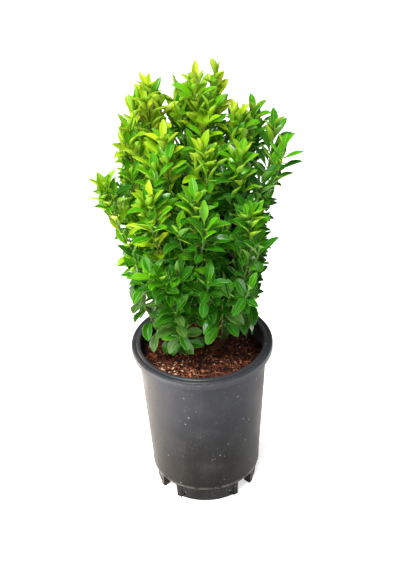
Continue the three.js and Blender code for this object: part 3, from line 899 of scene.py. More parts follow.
def soil_mix(soil):
    """Moist peat: brown crumbs, darkened partly by the peat's own tone and partly by painted shade in the
    hollows of their relief, with painted light on their tops.
    """
    finish = Finish("potting_mix", tuple(soil.colour), roughness=0.9, constants={"Specular IOR Level": 0.25})
    place = finish.place()
    crumbs = finish.cloud(place, scale=420, detail=5, roughness=0.7)
    patches = finish.cloud(place, scale=60, detail=3)
    # Painted shade in the hollows where the crumbs' relief is low, painted light on its tops, and the mix's
    # own uneven tone in patches.
    share = finish.between(crumbs * 0.75 + patches * 0.35, 0.40, 0.72)
    pale = tuple(min(1, 2.1 * value) for value in soil.colour)
    stops = [(0.0, tuple(soil.dark)), (0.55, tuple(soil.colour)), (1.0, pale)]
    finish.set("Base Color", finish.ramp(share, stops))
    finish.set("Roughness", 0.95 - finish.between(patches, 0.35, 0.7) * 0.25)
    grain = finish.cloud(place, scale=1300, detail=2)
    finish.bump(crumbs + grain * 0.5, strength=0.7, distance=0.0012)
    return finish


def chip_size(stream, pale):
    """The length of a chip, small for most of the plain ones."""
    if pale:
        return stream.uniform(*PALE_SIZES)
    return CHIP_LEAST + CHIP_VARIES * stream.uniform() ** CHIP_POWER


def chip_shape(stream, size):
    """An angular chip of bark or wood: a jittered, flattened double pyramid."""
    corners = CHIP_CORNERS + stream.uniform(-CHIP_JITTER, CHIP_JITTER, CHIP_CORNERS.shape)
    shape = np.array([1.0, stream.uniform(*CHIP_WIDTHS), stream.uniform(*CHIP_HEIGHTS)]) * size / 2
    turn = Matrix.Rotation(stream.uniform(0, FULL_TURN), 3, "Z")
    tilt = Matrix.Rotation(stream.normal(0, CHIP_TILT), 3, "X")
    return corners * shape @ np.array(turn @ tilt).T


def soil_place(stream, reach):
    """An even random place on a round top."""
    angle = stream.uniform(0, FULL_TURN)
    radius = reach * math.sqrt(stream.uniform())
    return radius * math.cos(angle), radius * math.sin(angle)


def pale_place(stream, reach):
    """A random place near the spot where the large pale chips lie, drawn in to stay on a round top."""
    place = np.array(PALE_SPOT) + stream.normal(0, PALE_SPREAD, 2)
    return place * min(1, reach / np.linalg.norm(place))


def tint_of(stream, shares):
    """The number of a colour, drawn by the shares of them all."""
    return int(stream.choice(len(shares), p=shares))


def scatter_chips(soil, reach):
    """Bark chips, then large pale bits of wood, each sunk to about half its thickness."""
    stream = np.random.default_rng(SOIL_SEED)
    chips = Joined()
    for number in range(soil.chips + soil.pale_chips):
        pale = number >= soil.chips
        size = chip_size(stream, pale)
        x, y = (pale_place if pale else soil_place)(stream, reach - size)
        places = chip_shape(stream, size) + (x, y, soil_height(soil, x, y) + CHIP_LIFT * size)
        chips.add_plain((places, CHIP_FACES), tint_of(stream, PALE_SHARES if pale else CHIP_SHARES))
    return chips


def fibre_path(stream, soil, reach):
    """A short curve that lies on the potting mix."""
    length = stream.uniform(*FIBRE_LENGTHS)
    x, y = soil_place(stream, reach - length)
    angle = stream.uniform(0, FULL_TURN)
    bend = stream.normal(0, FIBRE_BEND)
    corners = []
    for share in (-0.5, 0.0, 0.5):
        turn = angle + bend * share
        place = x + share * length * math.cos(turn), y + share * length * math.sin(turn)
        corners.append((*place, soil_height(soil, *place) + FIBRE_LIFT + stream.uniform(0, FIBRE_RISE)))
    return Path(corners, UP)


def scatter_fibres(soil, reach):
    """Thin fibres that lie in short curves on the potting mix."""
    stream = np.random.default_rng(SOIL_SEED + 1)
    fibres = Joined()
    for _ in range(soil.fibres):
        path = fibre_path(stream, soil, reach)
        thick = stream.uniform(*FIBRE_RADII)

        def radius_at(shares):
            return thick * (FIBRE_FOOT - FIBRE_TAPER * shares)

        shape = tube(path, 0, 1, FIBRE_SIDES, FIBRE_RINGS, radius_at)
        fibres.add_plain(shape, tint_of(stream, FIBRE_SHARES))
    return fibres


def plain_finishes(name, tints, roughness, constants=None):
    """One plain finish for each colour of a list."""
    return [Finish(f"{name}_{i + 1}", srgb(*tint), roughness, constants) for i, tint in enumerate(tints)]


class SPINDLE_OT_soil(bpy.types.Operator):
    """Fills the pot with rough potting mix, bark chips and fibres"""

    bl_idname = "spindle.soil"
    bl_label = "Fill the pot"

    def execute(self, context):
        pot = context.scene.spindle_pot
        soil = context.scene.spindle_soil

        def roughen(places):
            top = places[:, 2] >= soil.level - LEVEL_SPARE
            for i in np.flatnonzero(top):
                places[i, 2] = soil_height(soil, places[i, 0], places[i, 1])
            return places

        bed = turned(soil_section(pot, soil), SOIL_SEGMENTS, roughen)
        settle(plain_piece("soil_bed", bed, soil_mix(soil)), "potting_mix", "soil")
        reach = soil_wall(pot, soil.edge_level) - SCATTER_MARGIN
        finishes = plain_finishes("chip", CHIP_TINTS, roughness=0.85)
        chips = scatter_chips(soil, reach).piece("soil_chips", finishes)
        chips.data.polygons.foreach_set("use_smooth", np.zeros(len(chips.data.polygons), dtype=bool))
        settle(chips, "potting_mix")
        finishes = plain_finishes("fibre", FIBRE_TINTS, roughness=0.8)
        settle(scatter_fibres(soil, reach).piece("soil_fibres", finishes), "potting_mix")
        return {"FINISHED"}


# The growth of the plant


class Stem:
    """A short woody stem that leans a little outwards from the ground to a swollen fork."""

    def __init__(self, number, wood, ground):
        self.node = f"stem_{number + 1}"
        out = unit(np.array([*STEM_FEET[number], 0]) - [*np.mean(STEM_FEET, axis=0), 0])
        self.angle = math.atan2(out[1], out[0])
        foot = np.array([*STEM_FEET[number], ground + SEAT])
        self.fork = foot + out * STEM_LEAN + UP * STEM_HEIGHT
        third = UP * STEM_HEIGHT / 3
        self.path = Path([foot, foot + third, self.fork - third, self.fork], (1, 0, 0))
        self.radius = wood.stem_radius
        self.fork_radius = wood.stem_radius

    def radius_at(self, shares):
        """The stem's radius, wide at the ground and again at the fork."""
        flare = FLARE * np.exp(-shares * FLARE_FALL)
        return self.radius + flare + (self.fork_radius - self.radius) * shares**2


class Shoot:
    """A shoot with its path, the solid that it stands for, and the stem that it grows from."""

    def __init__(self, node, seed, tip, bend_out, stem, low=False):
        self.node = node
        self.seed = seed
        self.tip = np.array(tip, dtype=float)
        self.bend_out = bend_out
        self.stem = stem
        self.low = low
        self.path = None

    @property
    def bough(self):
        """The solid of a leading shoot's bare foot."""
        return self.node.replace("foliage", "bough")


def stem_near(stems, place):
    """The stem whose side of the clump a place is on."""
    angle = math.atan2(place[1], place[0])
    return max(stems, key=lambda stem: math.cos(angle - stem.angle))


def lead_shoots(stems, wood):
    """The leading shoots: each starts on its stem's fork, set out there as the tips are above."""
    shoots = []
    for i, (*tip, bend_out) in enumerate(SHOOT_TIPS):
        shoots.append(Shoot(f"foliage_{i + 1:02d}", i, tip, bend_out, stem_near(stems, tip)))
    for stem in stems:
        mine = [shoot for shoot in shoots if shoot.stem is stem]
        middle = np.mean([shoot.tip for shoot in mine], axis=0)
        for shoot in mine:
            offset = (shoot.tip - middle) * (FORK_SPREAD, FORK_SPREAD, 0)
            start = stem.fork + offset + UP * SEAT
            rise = shoot.tip[2] - start[2]
            bend = mix(start, shoot.tip, shoot.bend_out)
            bend[2] = start[2] + rise * BOUGH_BEND_UP
            side = (math.cos(shoot.seed), math.sin(shoot.seed), 0)
            shoot.path = Path([start, start + UP * rise * BOUGH_RISE, bend, shoot.tip], side)
            reach = np.linalg.norm(offset) + wood.bough_radius + FORK_BARK
            stem.fork_radius = max(stem.fork_radius, reach)
    return shoots


def low_shoots(stems):
    """The low shoots: each starts on the side of a stem and spreads outwards over the potting mix."""
    shoots = []
    for i, tip in enumerate(LOW_TIPS):
        stem = stem_near(stems, tip)
        shoot = Shoot(f"low_foliage_{i + 1}", LOW_SEED + i, tip, LOW_BEND_OUT, stem, low=True)
        heart = stem.path.places(LOW_START)
        out = unit((shoot.tip - heart) * (1, 1, 0))
        start = heart + out * (stem.radius_at(np.array(LOW_START + LOW_FOOT_SHARE)) - SEAT)
        middle = mix(start, shoot.tip, shoot.bend_out)
        middle[2] = mix(start[2], shoot.tip[2], LOW_BEND_UP)
        shoot.path = Path([start, middle, shoot.tip], np.cross(UP, out))
        shoots.append(shoot)
    return shoots


class Twig:
    """A leafy stretch of a path: a shoot's own upper part, or a side twig that leaves it."""

    def __init__(self, path, shoot, start, leaves_from, spacing, radius, trunk=None, share=1.0):
        self.path = path
        self.shoot = shoot
        self.start = start
        self.end = start
        self.leaves_from = leaves_from
        self.spacing = spacing
        self.radius = radius
        self.trunk = trunk
        self.share = share
        self.leaves = []

    @property
    def side(self):
        """Whether this is a side twig."""
        return self.trunk is not None

    @property
    def age(self):
        """How far below its shoot's tip a side twig leaves it, as a share."""
        return 1 - self.share


# The side twigs: where they leave a shoot, how they grow, and where the crown stays open
SIDE_TO = 0.93
SIDE_SHIFT = 0.3
SIDE_INSIDE = 0.006
SIDE_VARIES = 0.9
SIDE_ROOM = 0.7
SIDE_LEAN = math.radians(42)
SIDE_RISE = 0.10
SIDE_BARE = 0.30
SIDE_THICKNESS = 0.62
SIDE_TIP_RADIUS = 0.0008
OPEN_SIDE = (0.046, 0.030)
OPEN_SHARE = 0.9
LOW_LEAVES_FROM = 0.14


def side_path(path, share, length, turn):
    """The path of a side twig, which leaves a shoot at a slant and bends up beside it."""
    along, first, second = path.frames(share)
    out = math.cos(turn) * first + math.sin(turn) * second
    start = path.places(share)
    middle = start + (math.cos(SIDE_LEAN) * along + math.sin(SIDE_LEAN) * out) * length / 2
    end = middle + along * length / 2 + UP * length * SIDE_RISE
    return Path([start, middle, end], np.cross(along, out))


def side_twigs(shoot, trunk, leaves, stream):
    """Short side twigs that leave a shoot between its leaf pairs, fewer on the crown's open right side."""
    path = shoot.path
    places = int(path.length * (1 - trunk.start) / (leaves.spacing * leaves.side_every))
    twigs = []
    for i in range(places):
        share = mix(trunk.start, 1, (i + 0.5 + stream.uniform(-SIDE_SHIFT, SIDE_SHIFT)) / places)
        length = leaves.side_length * (1 + stream.uniform(-0.5, 0.5) * SIDE_VARIES)
        room = SIDE_ROOM * (path.length * (1 - share))
        twig_path = side_path(path, share, min(length, room), stream.uniform(0, FULL_TURN))
        end = twig_path.corners[-1]
        left_out = stream.uniform() < OPEN_SHARE * share_past(end[0], *OPEN_SIDE)
        fits = in_crown(end[None], -SIDE_INSIDE) and in_box(end[None])
        if fits and share <= SIDE_TO and not left_out:
            radius = mix(trunk.radius, SIDE_TIP_RADIUS, share) * SIDE_THICKNESS
            twigs.append(Twig(twig_path, shoot, 0, SIDE_BARE, leaves.side_spacing, radius, trunk, share))
    return twigs


def twigs_of(shoot, wood, leaves):
    """A shoot's own leafy stem, then the side twigs of a leading one."""
    if shoot.low:
        return [Twig(shoot.path, shoot, 0, LOW_LEAVES_FROM, leaves.low_spacing, wood.low_radius)]
    start = BARE_SHARE + SEAT / shoot.path.length
    trunk = Twig(shoot.path, shoot, start, start, leaves.spacing, wood.twig_radius)
    return [trunk, *side_twigs(shoot, trunk, leaves, np.random.default_rng(shoot.seed))]


def grow(scene):
    """The whole plant's stems, shoots and twigs, the same in every run."""
    wood = scene.spindle_wood
    stems = [Stem(i, wood, scene.spindle_soil.level) for i in range(len(STEM_FEET))]
    leaders = lead_shoots(stems, wood)
    shoots = [*leaders, *low_shoots(stems)]
    twigs = [twig for shoot in shoots for twig in twigs_of(shoot, wood, scene.spindle_leaves)]
    return stems, leaders, shoots, twigs


# The wood

STEM_RELIEF = {"depth": 0.0007, "pitch": 420, "stretch": 0.3}
STEM_SIDES = 40
STEM_RINGS = 34
BOUGH_RELIEF = {"depth": 0.00022, "pitch": 900, "stretch": 0.35}
BOUGH_SIDES = 14
BOUGH_RINGS = 30
BOUGH_SUNK = 0.004
RIDGE_MIDDLE = 0.75
FINE_SHARE = 0.5
FINE_PITCH = 2.7
BARK_CRACKS = (700, 700, 130)

# The twigs: their joints and steps, the crowding of their leaf pairs, and how far each age of wood reaches up
JOINT_SWELL = 0.30
JOINT_REACH = 0.0016
TWIG_STEP = 0.0035
TWIG_RINGS = 6
TWIG_SIDES = 8
SIDE_SIDES = 6
TIP_GAP = 0.0012
CROWDING = 1.22
LEAST_PAIRS = 2
OLD_WOOD, GREEN_WOOD, FRESH_WOOD = range(3)
OLD_WOOD_TO = 0.42
GREEN_WOOD_TO = 0.8
LOW_WOOD_TO = 0.65
SIDE_FOOT_TO = 0.3
SIDE_GREEN_TO = 0.7
OLD_SIDE_AGE = 0.5
OLD_WOOD_GREEN = 0.4
OLD_WOOD_SHADE = 0.55
FRESH_WOOD_SHADE = (1.15, 1.25, 0.9)
TWIG_GRAIN = (1100, 1100, 260)


def bark_relief(depth, pitch, stretch):
    """A relief of lengthwise ridges and cracks, as a function of places round a limb."""

    def height_at(place):
        ridge = 1 - abs(noise.noise(place * pitch))
        return depth * (ridge - RIDGE_MIDDLE) + depth * FINE_SHARE * noise.noise(place * pitch * FINE_PITCH)

    def relief(places):
        squeezed = (Vector((x, y, z)) for x, y, z in places.reshape(-1, 3))
        added = []
        for place in squeezed:
            place.z *= stretch
            added.append(height_at(place))
        return np.array(added).reshape(places.shape[:2])

    return relief


def bark_finish(wood):
    """Grey-brown bark with darker cracks along it and paler corky patches."""
    finish = Finish("bark", tuple(wood.bark), roughness=0.88, constants={"Specular IOR Level": 0.3})
    place = finish.place()
    cracks = finish.cloud(finish.stretched(place, BARK_CRACKS), scale=1.0, detail=4, roughness=0.65)
    patches = finish.cloud(place, scale=130, detail=3)
    dark = tuple(0.35 * value for value in wood.bark)
    pale = tuple(min(1, 1.7 * value) for value in wood.bark)
    stops = [(0.25, dark), (0.5, tuple(wood.bark)), (0.8, pale)]
    finish.set("Base Color", finish.ramp(cracks * 0.7 + patches * 0.3, stops))
    finish.set("Roughness", 0.95 - patches * 0.2)
    finish.bump(cracks, strength=0.6, distance=0.0008)
    return finish


class SPINDLE_OT_wood(bpy.types.Operator):
    """Grows the woody stems and the bare feet of the shoots, with the relief of their bark"""

    bl_idname = "spindle.wood"
    bl_label = "Grow the wood"

    def execute(self, context):
        wood = context.scene.spindle_wood
        stems, leaders, _, _ = grow(context.scene)
        bark = bark_finish(wood)
        relief = bark_relief(**STEM_RELIEF)
        trunks = Joined()
        for stem in stems:
            trunks.add_plain(tube(stem.path, 0, 1, STEM_SIDES, STEM_RINGS, stem.radius_at, relief))
        settle(trunks.piece("stem_bark", [bark]), "bark", *[stem.node for stem in stems])

        def taper(shares):
            return mix(wood.bough_radius, wood.twig_radius, shares / BARE_SHARE)

        relief = bark_relief(**BOUGH_RELIEF)
        boughs = Joined()
        for shoot in leaders:
            shape = tube(shoot.path, -BOUGH_SUNK, BARE_SHARE, BOUGH_SIDES, BOUGH_RINGS, taper, relief)
            boughs.add_plain(shape)
        settle(boughs.piece("bough_bark", [bark]), "bark", *[shoot.bough for shoot in leaders])
        return {"FINISHED"}


def leaf_shares(twig):
    """The shares of a twig's path where its leaf pairs stand, crowded to the tip, and each pair's age."""
    top = 1 - TIP_GAP / twig.path.length
    stretch = twig.path.length * (top - twig.leaves_from)
    count = max(LEAST_PAIRS, round(stretch / twig.spacing))
    ages = (1 - np.arange(1, count + 1) / count) ** CROWDING
    return mix(top, twig.leaves_from, ages), ages


def twig_radius(twig, tip_radius):
    """A twig's radius: it tapers to its tip and swells a little at each pair of leaves."""
    joints, _ = leaf_shares(twig)

    def radius_at(shares):
        taper = mix(twig.radius, tip_radius, (shares - twig.start) / (twig.end - twig.start))
        away = (shares[:, None] - joints[None, :]) * twig.path.length / JOINT_REACH
        return taper * (1 + JOINT_SWELL * np.exp(-(away**2)).sum(axis=1))

    return radius_at


def twig_tints(twig, rings):
    """The kind of wood between each two rings of a twig, from old at its foot to fresh at its tip."""
    shares = mix(twig.start, twig.end, np.arange(rings - 1) / (rings - 1))
    if twig.side:
        foot = OLD_WOOD if twig.age > OLD_SIDE_AGE else GREEN_WOOD
        return np.where(shares < SIDE_FOOT_TO, foot, np.where(shares < SIDE_GREEN_TO, GREEN_WOOD, FRESH_WOOD))
    if twig.shoot.low:
        return np.where(shares < LOW_WOOD_TO, OLD_WOOD, GREEN_WOOD)
    return np.where(shares < OLD_WOOD_TO, OLD_WOOD, np.where(shares < GREEN_WOOD_TO, GREEN_WOOD, FRESH_WOOD))


def twig_finishes(wood):
    """Old brown-green wood low on the shoots, and two greens of young wood above it."""
    green = np.array(wood.young)
    old = mix(np.array(wood.bark), green, OLD_WOOD_GREEN) * OLD_WOOD_SHADE
    fresh = np.clip(green * FRESH_WOOD_SHADE, 0, 1)
    finishes = []
    for name, colour in (("twig_old", old), ("twig_green", green), ("twig_fresh", fresh)):
        finish = Finish(name, tuple(colour), roughness=0.6, constants={"Specular IOR Level": 0.4})
        grain = finish.cloud(finish.stretched(finish.place(), TWIG_GRAIN), scale=1.0, detail=2)
        finish.bump(grain, strength=0.3, distance=0.0004)
        finishes.append(finish)
    return finishes


class SPINDLE_OT_twigs(bpy.types.Operator):
    """Grows the leafy stems of the shoots and their side twigs"""

    bl_idname = "spindle.twigs"
    bl_label = "Grow the twigs"

    def execute(self, context):
        wood = context.scene.spindle_wood
        _, _, shoots, twigs = grow(context.scene)
        finishes = twig_finishes(wood)
        stems, sides = Joined(), Joined()
        for twig in grow_leaves(context.scene, shoots, twigs):
            rings = max(TWIG_RINGS, round(twig.path.length * (twig.end - twig.start) / TWIG_STEP))
            corners = SIDE_SIDES if twig.side else TWIG_SIDES
            radius_at = twig_radius(twig, wood.tip_radius)
            places, faces = tube(twig.path, twig.start, twig.end, corners, rings, radius_at)
            tints = twig_tints(twig, rings)
            numbers = [*np.repeat(tints, corners), *([int(tints[-1])] * 2 * corners)]
            (sides if twig.side else stems).add(places, faces, numbers)
        settle(stems.piece("shoot_stems", finishes), "bark")
        settle(sides.piece("side_twigs", finishes), "bark")
        return {"FINISHED"}


# The leaves

# Blade colours from the youngest to the oldest, the last of them only on the low shoots
BLADE_TINTS = [
    (186, 207, 34),
    (166, 200, 28),
    (138, 189, 21),
    (99, 174, 11),
    (77, 159, 10),
    (56, 136, 10),
    (40, 108, 10),
    (72, 108, 44),
]

# Rib and underside colours, and which of them goes with each blade colour
RIB_TINTS = [(194, 218, 62), (152, 196, 62), (106, 154, 62)]
UNDER_TINTS = [(168, 204, 46), (138, 188, 40), (98, 148, 48)]
TINT_FAMILY = np.array([0, 0, 0, 1, 1, 1, 2, 2])

# How a leaf's colour steps deeper with its age and its spray, with painted shade on short shoots, and on side
# twigs
YOUNGEST_STEP = 0.5
AGE_STEPS = 5.8
AGE_POWER = 0.62
TWIG_AGE = 0.55
STEP_VARIES = 0.75
SPRAY_VARIES = 0.6
SIDE_TINT = 1.1
PAINTED_SHADE_TALL_TIPS = (0.42, 0.12)
PAINTED_SHADE_SHORT_STEP = 1.5
LOW_STEP = 6.4
LOW_AGE_STEP = 0.8
LOW_STEP_VARIES = 0.8

# Painted light and shade on the leaves: where their colour steps lighter, to the left and the top, and
# deeper, to the right, each from a start and over a way
PAINTED_LIGHT_LEFT = (0.020, 0.035)
PAINTED_LIGHT_LEFT_STEP = 2.6
PAINTED_LIGHT_TOP = (0.455, 0.045)
PAINTED_LIGHT_TOP_STEP = 2.7
AGED = 0.25
PAINTED_SHADE_RIGHT = (0.035, 0.045)
PAINTED_SHADE_RIGHT_UP = (0.300, 0.080)
PAINTED_SHADE_RIGHT_STEP = 2.7

# A leaf's rings along it and its corners across it, the last of them under the midrib, with the kind of face
# that starts at each corner, and how far each stands off the blade by its thickness and by the quilting
BLADE, RIB, UNDER, MARGIN = range(4)
LEAF_ROWS = np.array([0.05, 0.12, 0.21, 0.32, 0.44, 0.53, 0.61, 0.69, 0.77, 0.85, 0.915, 0.97])
LEAF_COLUMNS = np.array([-1, -0.92, -0.45, -0.04, 0.04, 0.45, 0.92, 1, 0])
LEAF_KINDS = np.array([MARGIN, BLADE, BLADE, RIB, BLADE, BLADE, MARGIN, UNDER, UNDER])
LEAF_BODY = np.array([0, 0.6, 1, 1, 1, 1, 0.6, 0, -1.6])
LEAF_QUILT = np.array([0, 0, 0.010, 0, 0, 0.010, 0, 0, 0])
LEAF_CUP = 0.16
THICKNESS = 0.011
THIN_FROM = 3
THIN_LEAST = 0.15
STALK_SHARE = 0.13
STALK_WIDTH = 0.065
BLADE_FOOT = 1.05
BLADE_TIP = 0.92
TEETH_FROM = 0.42
TOOTH = 1.09
LEAST_BEND = 1e-3

# How a leaf grows: its size by age, its bends and folds from young to old, and what varies
LEAF_AGES = (0, 0.1, 0.45, 1)
LEAF_SIZES = (0.86, 1.06, 0.90, 0.76)
LENGTH_RANGE = (0.86, 1.14)
WIDTH_RANGE = (0.88, 1.12)
YOUNG_WIDTH = 0.88
LOW_WIDTH = 1.12
GROWN_AGE = 0.30
PAIR_VARIES = 0.12
TIP_ANGLE = math.radians(24)
GROWN_ANGLE = math.radians(55)
WIDE_ANGLE = math.radians(61)
WIDE_FROM = 0.47
WIDE_OVER = 0.13
ANGLE_POWER = 0.42
ANGLE_VARIES = 0.18
BENDS = (0.18, 0.5)
LOW_BEND = 0.3
BEND_VARIES = 0.24
FOLDS = (0.42, 0.32)
FOLD_VARIES = 0.10
TWIST_VARIES = 0.24
DROOP = 0.05
HANGING_DROOP = 0.14
DROOP_FROM = 0.38
DROOP_OVER = 0.15
LOW_DROOP = 0.4
LOW_AGE_DROOP = 0.7
DROOP_VARIES = 0.1
LIGHT_TURN = 0.15
AGE_TURN = 0.35

# The tries to place a leaf, as shares of its angle and turns about the twig, and what it has to keep clear of
TRIES = [(1, 0), (1, 0.35), (1, -0.35), (0.8, 0.2), (0.8, -0.2), (1.15, 0.5), (1.15, -0.5), (0.62, 0)]
SAMPLES = np.array([[0.42, 0], [0.6, -0.75], [0.6, 0.75], [0.72, 0], [0.86, -0.6], [0.86, 0.6], [1, 0]])
INNER_SAMPLES = 4
LIMB_SHARES = np.linspace(0, 0.97, 70)
CLEARANCE = 0.0026
LEAST_CLEARANCE = 0.0011
RIM_CLEARANCE = 0.0015
WALL_CLEARANCE = 0.002
SOIL_CLEARANCE = 0.001
SKIRT_SLOPE = 0.73
SKIRT_BACK = 0.6
SKIRT_PLACES = (-0.015, 0.012)
SKIRT_STARTS = (0.036, 0.008)
BOX_SPARE = 0.004
OWN_REACH = 0.012
TIP_BEYOND = 0.003
TWIG_BEYOND = 0.0012


class Room:
    """The places that limbs and leaves already take, so that a new leaf can keep clear of them."""

    MOST = 40000
    NEAR = 0.03
    FAR = 1.0

    def __init__(self, places):
        self.places = np.zeros((self.MOST, 3))
        self.count = 0
        self.take(places)

    def take(self, places):
        """Adds places to those that are taken."""
        self.places[self.count : self.count + len(places)] = places
        self.count += len(places)

    def clearance(self, places):
        """The least way from any of these places to one that is taken."""
        taken = self.places[: self.count]
        near = taken[np.abs(taken - places.mean(axis=0)).max(axis=1) < self.NEAR]
        if not len(near):
            return self.FAR
        return float(np.sqrt(((near[:, None] - places[None]) ** 2).sum(axis=-1)).min())


class Leaf(NamedTuple):
    """A leaf's root, directions, size, bends and colour number."""

    root: np.ndarray
    direction: np.ndarray
    normal: np.ndarray
    length: float
    width: float
    bend: float
    fold: float
    twist: float
    tint: int


def half_width():
    """The outline of a leaf as shares of its width: a narrow stalk, then a blade with a toothed margin."""
    blade = np.clip((LEAF_ROWS - STALK_SHARE) / (1 - STALK_SHARE), 0, 1)
    form = blade**BLADE_FOOT * (1 - blade) ** BLADE_TIP
    middle = BLADE_FOOT / (BLADE_FOOT + BLADE_TIP)
    top = middle**BLADE_FOOT * (1 - middle) ** BLADE_TIP
    every_other = np.arange(len(LEAF_ROWS)) % 2 == 0
    teeth = np.where((LEAF_ROWS > TEETH_FROM) & every_other, TOOTH, 1.0)
    return np.maximum(0.5 * form / top * teeth, STALK_WIDTH)


def blade_places(leaf, shares, across, lift):
    """Places on a leaf at shares along it and across it, lifted off the blade by a little."""
    angle = leaf.bend * shares
    bend = leaf.bend if abs(leaf.bend) > LEAST_BEND else LEAST_BEND
    ahead = np.sin(bend * shares) / bend * leaf.length
    down = (1 - np.cos(bend * shares)) / bend * leaf.length
    side = np.cross(leaf.direction, leaf.normal)
    normals = np.sin(angle)[..., None] * leaf.direction + np.cos(angle)[..., None] * leaf.normal
    turn = leaf.twist * shares
    flat = across * math.cos(leaf.fold)
    high = np.abs(across) * math.sin(leaf.fold) + lift
    sideways = flat * np.cos(turn) - high * np.sin(turn)
    upwards = flat * np.sin(turn) + high * np.cos(turn)
    heart = leaf.root + ahead[..., None] * leaf.direction - down[..., None] * leaf.normal
    return heart + sideways[..., None] * side + upwards[..., None] * normals


def leaf_shape(leaf):
    """The corners of a leaf: rings round its thin blade, then its root and its tip."""
    outline = half_width()
    widths = outline * leaf.width * leaf.length
    shares = np.repeat(LEAF_ROWS[:, None], len(LEAF_COLUMNS), axis=1)
    across = widths[:, None] * LEAF_COLUMNS[None, :]
    thick = THICKNESS * leaf.length * np.clip((1 - LEAF_ROWS) * THIN_FROM, THIN_LEAST, 1)
    quilt = LEAF_QUILT[None, :] * np.cos(np.pi * np.arange(len(LEAF_ROWS)))[:, None]
    lift = thick[:, None] * LEAF_BODY[None, :] + quilt * leaf.length * outline[:, None]
    cup = LEAF_CUP * widths[:, None] * LEAF_COLUMNS[None, :] ** 2
    ends = np.array([0.0, 1.0])
    places = blade_places(leaf, shares, across, lift + cup).reshape(-1, 3)
    return np.concatenate([places, blade_places(leaf, ends, ends * 0, ends * 0)])


def leaf_numbers():
    """Each face's kind on a leaf: its blade, its pale ribs and stalk, its underside, or its margin."""
    kinds = []
    for row in LEAF_ROWS[1:]:
        kinds.extend([RIB] * len(LEAF_KINDS) if row <= STALK_SHARE else LEAF_KINDS)
    for kind in LEAF_KINDS:
        kinds.extend([RIB, kind])
    return np.array(kinds)


def leaf_samples(leaf):
    """A few places on a leaf's outer part, to test its clearance with."""
    across = SAMPLES[:, 1] * leaf.width * leaf.length * 0.5
    return blade_places(leaf, SAMPLES[:, 0], across, np.zeros(len(SAMPLES)))


def above_pot(places, pot, soil):
    """Whether places lie over the potting mix inside the wall, or clear of the rim."""
    radius = np.hypot(places[:, 0], places[:, 1])
    over = places[:, 2] > pot.height + RIM_CLEARANCE
    in_wall = radius < soil_wall(pot, soil.level) - WALL_CLEARANCE
    return bool(np.all(over | in_wall & (places[:, 2] > soil.level + SOIL_CLEARANCE)))


def shows_soil(places, pot):
    """Whether places keep above a slope that rises outwards over the potting mix, lower on the left."""
    start = np.interp(places[:, 0], SKIRT_PLACES, SKIRT_STARTS)
    ahead = np.maximum(-places[:, 1], SKIRT_BACK * places[:, 1])
    return bool(np.all(places[:, 2] > pot.height + SKIRT_SLOPE * (ahead - start)))


def in_box(places):
    """Whether places lie in the solids' box or hardly outside it."""
    low, high = np.array(CAD_BOX[0]), np.array(CAD_BOX[1])
    return bool(np.all((places > low - BOX_SPARE) & (places < high + BOX_SPARE)))


def in_crown(places, spare, least=0.0):
    """Whether places lie in the crown's reach to the left and right at their seen height."""
    x, seen = places[:, 0], places[:, 2] + SEEN_SLOPE * places[:, 1]
    left, right = (np.interp(seen, CROWN_HEIGHTS, reach) for reach in (CROWN_LEFT, CROWN_RIGHT))
    return bool(np.all(np.abs(x) < np.maximum(np.where(x < 0, left, right) + spare, least)))


def leaf_tint(twig, root, age, stream):
    """The colour number of a leaf: yellow-green at the tips, then deeper with age and spray, with painted
    light and shade by place.

    Leaves are painted lighter on the left and at the top and painted darker on the right and on short shoots,
    where light and shade fall; they are greyest on the low shoots.
    """
    short_painted_shade = 1 - share_past(twig.shoot.tip[2], *PAINTED_SHADE_TALL_TIPS)
    left = share_past(-root[0], *PAINTED_LIGHT_LEFT)
    right = share_past(root[0], *PAINTED_SHADE_RIGHT)
    top = share_past(root[2], *PAINTED_LIGHT_TOP) * (1 - right)
    right_painted_shade = PAINTED_SHADE_RIGHT_STEP * right * share_past(root[2], *PAINTED_SHADE_RIGHT_UP)
    light = (PAINTED_LIGHT_LEFT_STEP * left + PAINTED_LIGHT_TOP_STEP * top) * min(1, age / AGED)
    # The spray's colour step takes painted shade on short shoots and on the right, and painted light on the
    # left and at the top.
    spray = stream.spray + PAINTED_SHADE_SHORT_STEP * short_painted_shade + right_painted_shade - light + (SIDE_TINT if twig.side else 0)
    aged = AGE_STEPS * min(1, age + TWIG_AGE * twig.age) ** AGE_POWER
    step = YOUNGEST_STEP + aged + spray + stream.normal(0, STEP_VARIES)
    if twig.shoot.low:
        step = LOW_STEP + LOW_AGE_STEP * age + stream.normal(0, LOW_STEP_VARIES)
    deepest = len(BLADE_TINTS) - (1 if twig.shoot.low else 2)
    return int(np.clip(round(step), 0, deepest))


def aim(along, out, angle, age, droop):
    """A leaf's direction and the normal of its upper side, drooping and turning to the light with age."""
    direction = math.cos(angle) * along + math.sin(angle) * out
    normal = math.sin(angle) * along - math.cos(angle) * out
    direction = unit(direction - UP * droop)
    normal = normal + UP * (LIGHT_TURN + AGE_TURN * age)
    return direction, unit(normal - direction * (normal @ direction))


